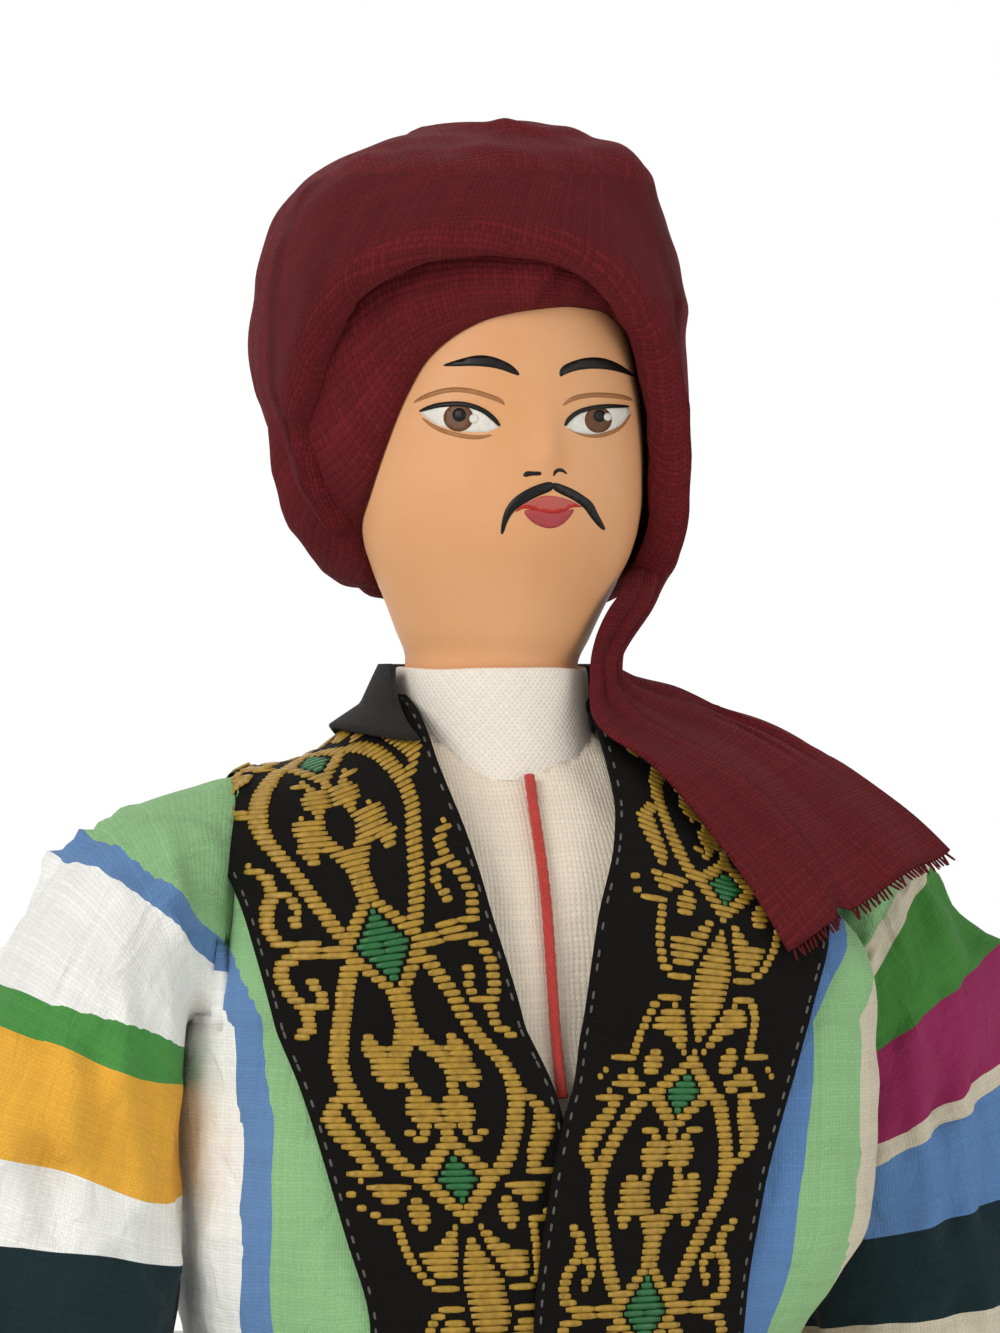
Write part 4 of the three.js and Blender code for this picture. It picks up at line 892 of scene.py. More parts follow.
def laid_thread_tree() -> NodeTree:
    """Builds the Geometry Nodes tree that lays one short, round-backed thread on each point.

    Returns:
        The tree, which takes points, width, height and finish.
    """
    tree = bpy.data.node_groups.new("laid_threads", "GeometryNodeTree")
    for name, kind in (("Geometry", "Geometry"), ("Width", "Float"), ("Height", "Float"),
                       ("Finish", "Material")):
        tree.interface.new_socket(name, in_out="INPUT", socket_type=f"NodeSocket{kind}")
    tree.interface.new_socket("Geometry", in_out="OUTPUT", socket_type="NodeSocketGeometry")
    node = partial(add, tree)
    start = node("NodeGroupInput").outputs
    rod = node("GeometryNodeMeshCylinder", {"Vertices": 8, "Side Segments": 4, "Radius": 1.0, "Depth": 2.0})
    spot = node("GeometryNodeInputPosition")
    end = node("Math", [node("SeparateXYZ", [spot]).outputs[2]], "ABSOLUTE")
    left = node("Math", [node("Math", [end, 8.0], "POWER"), -0.6, 1.0], "MULTIPLY_ADD")
    taper = node("Math", [left], "SQRT")
    pinched = node("VectorMath", [spot, node("CombineXYZ", [taper, taper, 1.0])], "MULTIPLY")
    thread = node("GeometryNodeSetPosition", {"Geometry": rod, "Position": pinched})
    along, up = (node("GeometryNodeInputNamedAttribute", [mark], data_type="FLOAT_VECTOR")
                 for mark in ("along", "up"))
    half = node("GeometryNodeInputNamedAttribute", ["half"], data_type="FLOAT")
    turn = node("FunctionNodeAxesToRotation", [along, up], primary_axis="Z", secondary_axis="X")
    plump = node("FunctionNodeRandomValue", {2: 0.42, 3: 0.55, "Seed": 1}, data_type="FLOAT")
    high = node("Math", [start["Height"], plump.outputs[1]], "MULTIPLY")
    wide = node("Math", [start["Width"], 0.5], "MULTIPLY")
    laid = node("GeometryNodeInstanceOnPoints", {
        "Points": start["Geometry"], "Instance": thread, "Rotation": turn,
        "Scale": node("CombineXYZ", [high, wide, half])})
    soft = node("GeometryNodeSetShadeSmooth", [node("GeometryNodeRealizeInstances", [laid])])
    dressed = node("GeometryNodeSetMaterial", {"Geometry": soft, "Material": start["Finish"]})
    node("NodeGroupOutput", [dressed])
    return tree


THREAD_TREE = laid_thread_tree()


@dataclass
class Threads:
    """Short threads, each with its middle, its way up, its run and its half length in mm."""

    rows: list = field(default_factory=list)

    def put(self, middle: Array, up: Array, run: Array, half: float) -> None:
        """Adds one thread."""
        self.rows.append((middle, up, run, half))

    def fray(self, root: Array, up: Array, run: Array, half: tuple[float, float], out: float,
             spread: float, draw: np.random.Generator) -> None:
        """Adds one loose thread at a cut edge.

        Args:
            root: where it leaves the cloth.
            up: the cloth's outward way.
            run: the way that the cloth's threads run.
            half: its least half length, and how much that may grow.
            out: how far past the root its middle lies.
            spread: how far it strays.
            draw: the random numbers.
        """
        way = unit(unit(run) + draw.normal(0, spread, 3))
        self.put(root + way * out, up, way, half[0] + half[1] * draw.random())

    def build(self, name: str, width: float, height: float, finish: Finish, slot: str) -> Object:
        """Lays the threads as one mesh.

        Args:
            name: the piece's name.
            width: a thread's width in mm.
            height: its height in mm.
            finish: its finish.
            slot: the record's material slot.

        Returns:
            The piece.
        """
        middles, ups, runs, halves = zip(*self.rows)
        piece = mesh_piece(name, np.array(middles), [])
        for mark, values in (("up", ups), ("along", runs)):
            attribute = piece.data.attributes.new(mark, "FLOAT_VECTOR", "POINT")
            attribute.data.foreach_set("vector", np.array(values, np.float32).ravel())
        attribute = piece.data.attributes.new("half", "FLOAT", "POINT")
        attribute.data.foreach_set("value", np.array(halves, np.float32) * MM)
        layer = piece.modifiers.new("threads", "NODES")
        layer.node_group = THREAD_TREE
        settings = {"Width": width * MM, "Height": height * MM, "Finish": finish.make()}
        for socket in THREAD_TREE.interface.items_tree:
            if socket.in_out == "INPUT" and socket.name in settings:
                layer[socket.identifier] = settings[socket.name]
        return place(settled(piece), finish, slot, Body.FIGURE)


def near_line(u: Array, v: Array, line: Line) -> Array:
    """Gives the distance from points to an open line of straight stretches, in mm.

    Args:
        u: the points' first number.
        v: their second number.
        line: the line's corners.

    Returns:
        The distance of each point.
    """
    best = np.full(u.shape, 1e9)
    for (ax, ay), (bx, by) in zip(line, line[1:]):
        dx, dy = bx - ax, by - ay
        t = np.clip(((u - ax) * dx + (v - ay) * dy) / (dx * dx + dy * dy + 1e-12), 0, 1)
        best = np.minimum(best, np.hypot(u - ax - t * dx, v - ay - t * dy))
    return best


def inside(u: Array, v: Array, outline: Line) -> Array:
    """Says which points lie inside a closed outline.

    Args:
        u: the points' first number.
        v: their second number.
        outline: the outline's corners.

    Returns:
        A truth value for each point.
    """
    hit = np.zeros(u.shape, bool)
    for (ax, ay), (bx, by) in zip(outline, [*outline[1:], outline[0]]):
        if ay == by:
            continue
        crossing = ((ay > v) != (by > v)) & (u < (bx - ax) * (v - ay) / (by - ay) + ax)
        hit ^= crossing
    return hit


@dataclass(frozen=True)
class Motif:
    """The braid's traditional carpet ornament, in mm of one cell: lozenges, ogees, leaves and scrolls."""

    cell: float = 28.5
    bar: float = 1.6
    ogee: tuple = ((3.9, 2.2), (5.2, 5.9), (6.7, 11.2), (7.8, 14.5), (8, 17), (7.6, 19.8), (6.9, 22.4),
                   (5.6, 25.8), (4.1, 28.3))
    stem: tuple = ((0, 6.5), (0, 10))
    lobe: tuple = ((-0.1, 9.4), (1.2, 9.8), (2.2, 12.3), (3.4, 12.2), (3.6, 10.7), (4.4, 10.7), (5.4, 13.1),
                   (4.8, 14.4), (5.2, 15.9), (4.8, 17.2), (3.8, 18), (3, 17), (2.4, 17.5), (2.2, 18.7),
                   (1.2, 18.8), (1.7, 16), (1.2, 14), (-0.1, 12))
    foot: tuple = ((-0.1, 19.6), (1.1, 18.6), (2.2, 18.3), (3.2, 19.4), (3.3, 21), (2.2, 22.9), (1.2, 22.2),
                   (0.6, 22.3), (0.5, 24.5), (-0.1, 24.5))
    hook: tuple = ((1.8, 22.6), (2.5, 23.9), (3.6, 23.1))
    leaf: tuple = ((8.3, 17.8), (9.6, 18.6), (11.1, 21.3), (10.7, 23.5), (9.3, 25.8), (8.2, 28), (7.2, 27.4),
                   (7.7, 25.1), (8.6, 22.7), (9.3, 20.4), (8.5, 19.2))
    leaf_foot: tuple = ((7.5, 28), (9.9, 28))
    scroll: tuple = (((10.1, 10.9), (9, 9.8), (8.9, 7.6)), ((8.9, 7.6), (9.9, 5.6), (10.3, 3.4), (9.9, 1.4),
                     (8, 0.5), (4.6, 0.3)), ((8.9, 7.6), (7.4, 6.9), (7.2, 5.4)), ((7.6, 4.4), (7.7, 3.7)))
    petal: tuple = ((1, 5.4), (1.9, 6), (3.4, 8), (5.5, 8.8), (5.3, 10.3), (4.6, 11.6), (3.4, 11.9),
                    (2.5, 11.4), (1.6, 8.5))
    heart: tuple = ((-0.1, 6.2), (1, 9), (2, 12), (2, 14.3), (-0.1, 14.3))
    vine: tuple = ((8.9, 4.5), (6.9, 4.7), (6.7, 8), (6.4, 10), (5.7, 12), (4.6, 13), (3, 13.1))
    side_leaf: tuple = ((4.6, 0.4), (6.4, 0.2), (7.6, 0.9), (9.2, 0.1), (8.6, 1.5), (7.8, 2.6), (6.7, 3.3),
                        (6, 2.2), (4.9, 1.5))
    dots: tuple = ((10.2, -0.6), (10.4, 1.7), (9.8, 3.3))
    large: tuple = ((4.7, 7.3), (3.1, 5.2), (2.7, 4.4))
    small: tuple = ((4.3, 5.7), (2.4, 3.5), (2.0, 2.7))

    def rich(self, u: Array, w: Array) -> Array:
        """Gives the gold of the cell between a large and a small lozenge, w from the large one.

        Args:
            u: mm across from the braid's middle.
            w: mm along from the large lozenge.

        Returns:
            Where the gold thread is on top.
        """
        gold = near_line(u, w, self.ogee) < self.bar / 2
        gold |= (near_line(u, w, self.stem) < 1.15) | (near_line(u, w, self.hook) < 0.42)
        gold |= inside(u, w, self.lobe) | inside(u, w, self.foot)
        gold |= inside(u, w, self.leaf) | (near_line(u, w, self.leaf_foot) < 0.4)
        for line, half in zip(self.scroll, (0.55, 0.62, 0.5, 0.55)):
            gold |= near_line(u, w, line) < half
        return gold

    def plain(self, u: Array, w: Array) -> Array:
        """Gives the gold of the cell between two small lozenges, w from the nearer one.

        Args:
            u: mm across from the braid's middle.
            w: mm along from the lozenge.

        Returns:
            Where the gold thread is on top.
        """
        gold = inside(u, w, self.petal) | inside(u, w, self.heart) | inside(u, w, self.side_leaf)
        gold |= near_line(u, w, self.vine) < 0.42
        gold |= ((u - 4.5) / 1.05) ** 2 + ((w - 4.1) / 1.8) ** 2 < 1
        for across, up in self.dots:
            gold |= np.hypot(u - across, w - up) < 0.45
        return gold

    def threads(self, u: Array, v: Array) -> Array:
        """Gives the thread on top at each place: 0 black, 1 gold and 2 green.

        Args:
            u: the way across from the braid's middle, in mm.
            v: the way along from a large lozenge, in the cell's mm.

        Returns:
            The thread numbers.
        """
        u = np.abs(u)
        v = v % (3 * self.cell)
        v = np.minimum(v, 3 * self.cell - v)
        gold = np.where(v > self.cell, self.plain(u, v - self.cell), self.rich(u, v))
        green = np.zeros(u.shape, bool)
        for level, sizes in ((0, self.large), (self.cell, self.small)):
            lozenge, hollow, middle = (u / wide + np.abs(v - level) / high < 1 for wide, high in sizes)
            gold = np.where(lozenge, ~hollow, gold)
            green |= middle
        return np.where(green, 2, gold.astype(int))


@dataclass
class Braid:
    """One woven braid along a front edge of the coat, with its inner and outer edges by height."""

    side: int
    edges: Table
    large_at: float
    cell: float
    lift: float = 0.35
    wall: float = 0.6
    row: float = 0.77
    low: float = 66.0
    high: float = 252.0

    def inner(self, height: Numbers) -> Array:
        """Gives the inner edge's way across at a height."""
        return self.edges(height)[..., 0]

    def outer(self, height: Numbers) -> Array:
        """Gives the outer edge's way across at a height."""
        return self.edges(height)[..., 1]

    def grid(self, columns: int = 41) -> tuple[Grid, Array]:
        """Lays the braid's grid on the coat, and gives it with the heights of its rows.

        Args:
            columns: how many points lie across it.

        Returns:
            The grid and the heights in mm.
        """
        heights = np.linspace(self.low, self.high, 200)
        first, last = self.inner(heights), self.outer(heights)
        if self.side < 0:
            first, last = last, first
            last = np.where(heights < 199, np.minimum(last, BRAIDS[1].inner(heights) + 6), last)
        share = np.linspace(0, 1, columns)
        across = first[:, None] + (last - first)[:, None] * share
        grid = Grid(FORM.at(FORM.turn_of(across, heights), heights[:, None]))
        lift = self.lift + 0.12 * waves(grid.points, 24, 51 + self.side)
        if self.side > 0:
            lift = lift + 0.9 * (1 - smooth(0.3, 0.75, share)) * (1 - smooth(192, 202, heights))[:, None]
        grid.push(lift)
        width = np.median(np.linalg.norm(np.diff(grid.points, axis=1), axis=2).sum(1))
        along = lengths(grid.points[:, columns // 2])[:, None]
        inner, outer = self.inner(heights)[:, None], self.outer(heights)[:, None]
        u = (across - (outer + inner) / 2) / (outer - inner)
        grid.uv = np.stack(np.broadcast_arrays(u * width, along), -1)
        return grid, heights

    def build(self) -> None:
        """Builds the black ground, its gold and green threads, and the stitches of its edges."""
        name = f"front_braid_{SIDES[self.side]}"
        grid, heights = self.grid()
        normals = grid.normals()
        top = grid.points + normals * self.wall
        cover(Grid(top))
        along = grid.uv[:, 0, 1]
        length = float(along[-1])
        ground = thicken(grid.build(f"{name}_ground"), self.wall, inwards=False)
        place(ground, FINISH.ribbon_ground, "woven_braid", Body.FIGURE, name,
              flat=(0.027, round(length) * MM))
        start = float(np.interp(self.large_at, heights, along))
        fine = np.linspace(0, 1, 240)
        columns = np.linspace(0, 1, top.shape[1])
        gold, green, stitches = Threads(), Threads(), Threads()
        for level in np.arange(0.5, length - 0.4, self.row):
            row = np.interp(level, along, np.arange(len(heights)))
            low = int(min(row, len(heights) - 2))
            across = np.interp(fine, columns, grid.uv[low, :, 0])
            numbers = MOTIF.threads(across, np.full(fine.shape, (start - level) * MOTIF.cell / self.cell))
            numbers[(fine < 0.03) | (fine > 0.97)] = 0
            mixed = (rows[low] * (low + 1 - row) + rows[low + 1] * (row - low) for rows in (top, normals))
            spots, ups = (np.stack([np.interp(fine, columns, line[:, k]) for k in range(3)], -1)
                          for line in mixed)
            self.lay(numbers, spots, ups, {1: gold, 2: green})
        for level in np.arange(1.0, length - 1, 2.1):
            row = int(np.interp(level, along, np.arange(len(heights))))
            above, below = min(row + 1, len(heights) - 1), max(row - 1, 0)
            for column in (1, -2):
                run = unit(grid.points[above, column] - grid.points[below, column])
                stitches.put(top[row, column], normals[row, column], run, 0.45)
        for threads, label, finish, width, high in (
                (gold, "gold", FINISH.gold, 0.78, 0.42), (green, "green", FINISH.green, 0.78, 0.42),
                (stitches, "edge_stitches", FINISH.stitch, 0.3, 0.22)):
            threads.build(f"{name}_{label}", width, high, finish, "woven_braid")

    @staticmethod
    def lay(numbers: Array, spots: Array, ups: Array, kinds: dict[int, Threads]) -> None:
        """Lays one row's threads, split where they would float too far.

        Args:
            numbers: the thread on top at each place across.
            spots: the places, in mm.
            ups: their outward ways.
            kinds: where each kind of thread goes.
        """
        longest, shortest = 5, 0.12
        edges = np.flatnonzero(np.diff(np.concatenate([[0], numbers, [0]])) != 0)
        for first, last in zip(edges, np.minimum(edges[1:], len(numbers) - 1)):
            kind = int(numbers[first])
            if kind == 0:
                continue
            parts = max(1, math.ceil(np.linalg.norm(spots[last] - spots[first]) / longest))
            cuts = [first + (last - first) * part // parts for part in range(parts + 1)]
            for a, b in zip(cuts, cuts[1:]):
                run = spots[b] - spots[a]
                size = np.linalg.norm(run)
                if size >= shortest:
                    middle = (a + b) // 2
                    kinds[kind].put(spots[middle], ups[middle], run / size, max(size / 2 + 0.05, 0.3))


MOTIF = Motif()
BRAIDS = {
    -1: Braid(-1, Table([(253, -9, -33), (241, -10.8, -34.5), (228, -11, -34.6), (214.8, -7.8, -33),
                         (206, -4, -30.9), (195.5, -0.3, -28), (183, 1.6, -24.8), (173, 3.9, -22.3),
                         (160, 4.6, -21.6), (100, 4.6, -21.6), (66, 4.6, -21.6)]), 212.7, 27.4),
    1: Braid(1, Table([(253, 8.5, 34), (241, 9.6, 35.6), (230, 9.3, 35.5), (222.8, 9, 35), (219, 8, 34.2),
                       (213.5, 5.3, 32.4), (207, 3.3, 29.4), (200, 1.3, 27.2), (195.5, -0.5, 25.8),
                       (187, -2.5, 23.6), (172.5, -4.4, 21.5), (160, -4.7, 21.4), (100, -4.7, 21.6),
                       (66, -4.7, 21.6)]), 174.0, 24.9),
}


@dataclass
class Stripes:
    """How the striped cloth's stripes run on one half of the coat."""

    side: int

    def down(self, points: Array) -> Array:
        """Gives the lengthwise stripes' numbers, whole where two stripes meet, over the shoulder and down.

        Args:
            points: the places in mm, with three numbers each.

        Returns:
            A number for each point.
        """
        x, z = np.abs(points[..., 0]), points[..., 2]
        spread = 37.6 / FORM.girth(np.minimum(z, FORM.chest))[..., 0]
        spread = np.where(z < FORM.waist, spread, 1 + (spread - 1) * smooth(29, 35, x * spread))
        inwards = (x - np.maximum(0, z - FORM.chest) / (2.6 if self.side < 0 else 1.45)) * spread
        inwards = inwards + 0.25 * waves(points, 14, 5)
        if self.side < 0:
            return np.interp(inwards, (0, 9, 20, 22, 32, 34.7, 50), (0, 1, 2, 3, 4, 5, 5.9))
        first = np.interp(z, (172, 195.7), (25.9, 30))
        second = np.interp(z, (168, 172, 177.6, 190), (33.6, 34.6, 36, 36.8))
        third = second + np.interp(z, (168, 178), (3, 1.3))
        number = np.interp(inwards, (0, 9, 14, 18), (0, 1, 2, 3))
        for near, far in ((18, first), (first, second), (second, third)):
            number = number + np.clip((inwards - near) / (far - near), 0, 1)
        return number + np.clip((inwards - third) / 40, 0, 0.9)

    def across(self, points: Array) -> Array:
        """Gives the stripe number of the sleeve's stripes, which run round the arm.

        Args:
            points: the places in mm, with three numbers each.

        Returns:
            A number for each point.
        """
        x, z = np.abs(points[..., 0]), points[..., 2] + 0.3 * waves(points, 11, 6)
        if self.side < 0:
            lines = ((217.9, 0.86), (214.3, 0.82), (202.8, 0.35), (198.9, 0.353), (185.5, 0.25),
                     (178.3, 0.18), (164, 0.15), (155, 0.12), (128, 0.1))
        else:
            lines = ((198, 0.7), (186.9, 0.56), (184.7, 0.585), (177.4, 0.28), (167, 0.2), (161, 0.15),
                     (153, 0.12), (128, 0.1))
        first, fade = (4, 44) if self.side < 0 else (7, 1.2)
        levels = [start + (x - 38) * slope for start, slope in lines]
        number = first - np.clip((z - levels[0]) / fade, 0, first)
        for upper, lower in zip(levels, levels[1:]):
            number = number + np.clip((upper - z) / (upper - lower), 0, 1)
        return np.minimum(number, first + len(lines) - 2 + 0.9)


@dataclass
class Robe:
    """The striped coat's body and its two sleeves.

    outer and inner give the way across and the height of a sleeve's upper and lower line, and depth its
    half depth, by the share of the way from the shoulder to the cuff.
    """

    hem: float = 66.0
    wall: float = 1.2
    neck_radius: float = 15.5
    neck_back_cover: float = 5.0
    arm_turns: tuple[float, float] = (18.3, 9.5)
    outer: Table = Table([(0, 31, 234.6), (0.08, 38, 232.8), (0.16, 44, 230.4), (0.24, 49.5, 226.6),
                          (0.32, 54.5, 220), (0.42, 60.2, 211), (0.52, 65, 201), (0.64, 70, 189),
                          (0.76, 74.5, 176.5), (0.88, 79, 163), (1, 83.2, 148.3)])
    inner: Table = Table([(0, 37.6, 206), (0.08, 37.9, 205.4), (0.16, 38, 204.6), (0.24, 38, 203.4),
                          (0.32, 38, 201), (0.42, 38, 196.5), (0.52, 38, 190), (0.64, 38.4, 180),
                          (0.76, 39.3, 168), (0.88, 40.4, 154.5), (1, 43, 140)])
    depth: Table = Table([(0, 10.8), (0.16, 13), (0.3, 14.5), (0.5, 14.6), (1, 13.2)])

    def opening(self, side: int) -> tuple[float, float]:
        """Gives the armhole's reach round the body in front and behind, in radians."""
        front = self.arm_turns[0] if side < 0 else self.arm_turns[1]
        return math.radians(front), math.radians(self.arm_turns[0])

    @staticmethod
    def side_turn(side: int, lean: Numbers) -> Numbers:
        """Gives the angle that leans a way forward (below 0) or back from a side of the body."""
        return lean if side > 0 else math.pi - lean

    def body(self) -> None:
        """Builds the coat's body, open down the front and at the neck and arms."""
        back_foot, gap_foot, overlap = 225, 193, 2
        turns = around(276, -math.pi)
        heights = np.concatenate([np.linspace(self.hem, FORM.chest, 92),
                                  np.linspace(FORM.chest, FORM.top, 26)[1:]])
        grid = Grid(FORM.at(turns, heights[:, None]), wraps=True)
        points = grid.points
        soft = smooth(self.hem, self.hem + 6, points[..., 2]) * (1 - smooth(228, 240, heights))[:, None]
        grid.push(soft * (0.28 * waves(points, 22, 11) + 0.1 * waves(points, 7, 12)) - 0.1)
        points = grid.points
        right, left = Stripes(-1).down(points), np.minimum(Stripes(1).down(points), 5.9)
        grid.marks["stripe"] = np.where(points[..., 0] < 0, right, left)
        cover(grid)
        across, ahead, up = np.moveaxis(grid.middles(), -1, 0)
        hole = np.where(ahead > 0, self.neck_radius - self.neck_back_cover, self.neck_radius)
        keep = (np.hypot(across, ahead) >= hole) | (up <= back_foot)
        level = (heights[:-1] + heights[1:])[:, None] / 2
        for side in SIDES:
            front, back = self.opening(side)
            lean = (self.side_turn(side, turns + math.pi / len(turns)) + math.pi) % RING - math.pi
            keep &= (level <= FORM.chest) | (lean <= -front) | (lean >= back)
        gap = ((across > BRAIDS[-1].inner(level) - overlap) & (across < BRAIDS[1].inner(level) + overlap)
               & (ahead < 0))
        grid.keep = keep & ~(gap & (level > gap_foot))
        piece = thicken(welded(grid.build("robe_body_cloth")), self.wall)
        place(piece, FINISH.right_stripes, "striped_robe_cloth", Body.FIGURE, "robe_body",
              flat=(0.26, 0.175), rests_on=("torso_padding", "sash_band"))
        piece.data.materials.append(FINISH.left_stripes.make())
        for face in piece.data.polygons:
            face.material_index = int(face.center.x > 0)

    def armhole(self, side: int, share: Array) -> Array:
        """Gives points along the armhole's edge.

        Args:
            side: 1 for the doll's left and -1 for its right.
            share: how far along from the shoulder to under the arm, from 0 to 1, negative in front.

        Returns:
            The points in mm.
        """
        halves = {}
        for sign, reach in zip((-1, 1), self.opening(side)):
            down = FORM.at(self.side_turn(side, sign * reach), np.linspace(FORM.top, FORM.chest, 24))
            under = FORM.at(self.side_turn(side, np.linspace(sign * reach, 0, 10)[1:]), FORM.chest)
            line = np.vstack([down, under])
            halves[sign] = lengths(line) / lengths(line)[-1], line
        result = np.empty((len(share), 3))
        for index, value in enumerate(share):
            way, line = halves[-1 if value < 0 else 1]
            result[index] = [np.interp(abs(value), way, line[:, axis]) for axis in range(3)]
        return result

    def sleeve(self, side: int) -> None:
        """Builds one wide sleeve, from the armhole out to the cuff.

        Args:
            side: 1 for the doll's left and -1 for its right.
        """
        stripe_width, pucker_width = 9, 1.6
        stations = np.concatenate([[-0.02], np.linspace(0, 1, 88)])
        turns = around(144)
        edge = self.armhole(side, np.where(turns <= math.pi, -turns / math.pi, 2 - turns / math.pi))
        x, y = squared(turns)
        rings = [edge * [1, 0.9, 1] + [-side * 1.6, 0, -1.2]]
        for s in stations[1:]:
            (ox, oz), (ix, iz) = self.outer(s), self.inner(s)
            ring = np.stack([side * ((ox + ix) + x * (ox - ix)) / 2, -y * self.depth(s),
                             ((oz + iz) + x * (oz - iz)) / 2], -1)
            rings.append(edge + (ring - edge) * smooth(0, 0.15, s))
        grid = Grid(np.array(rings), wraps=True, flip=side < 0)
        points = grid.points
        number = Stripes(side).across(points)
        if side > 0:
            number = np.maximum(number, Stripes(side).down(points))
        near_seam = np.exp(-(((number + 0.5) % 1 - 0.5) * stripe_width / pucker_width) ** 2)
        sag = (0.9 * waves(points, 26, 21 + side)
               + 0.9 * near_seam * waves(points * [1, 1.6, 0.3], 6, 31 + side))
        fine = 0.5 * waves(points * [1, 1.4, 0.4], 7, 41 + side)
        outside = np.clip(0.8 + 0.6 * np.cos(turns), 0.35, 1)
        least = (-0.15 - 1.4 * smooth(0.35, 0.55, stations))[:, None]
        free = smooth(0.02, 0.2, stations)[:, None]
        grid.push(free * np.maximum(outside * (sag + fine), least) - 0.2)
        grid.marks["stripe"] = number
        cover(grid)
        name = f"sleeve_{SIDES[side]}"
        piece = thicken(grid.build(f"{name}_cloth"), self.wall)
        place(piece, FINISH.left_stripes if side > 0 else FINISH.right_stripes, "striped_robe_cloth", None,
              name, flat=(0.105, 0.098))
        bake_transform(piece)

    def build(self) -> None:
        """Builds the coat."""
        self.body()
        self.sleeve(-1)
        self.sleeve(1)


COVERS: list[BVHTree] = []


def cover(grid: Grid) -> None:
    """Keeps a grid's surface, so that what is laid on it later can be kept clear of it.

    Args:
        grid: the grid, in mm.
    """
    piece = grid.build("cover")
    COVERS.append(surface_of(piece))
    bpy.data.objects.remove(piece)


def clear_of_covers(points: Array, gap: float, rounds: int = 3, reach: float = 9.0) -> Array:
    """Lifts points that lie too near the surfaces kept so far.

    Args:
        points: the points, in mm.
        gap: the least distance, in mm.
        rounds: how often each surface is asked.
        reach: the depth past which a point is left where it is.

    Returns:
        The points, moved outwards where they had to be.
    """
    flat = points.reshape(-1, 3).copy()
    for _ in range(rounds):
        for tree in COVERS:
            for index, point in enumerate(flat):
                spot, normal, _, _ = tree.find_nearest(Vector(point) * MM, (reach + 2) * MM)
                if spot is None:
                    continue
                depth = (Vector(point) * MM - spot).dot(normal) / MM
                if -reach < depth < gap:
                    flat[index] = np.array(spot) / MM + np.array(normal) * gap
    return flat.reshape(points.shape)


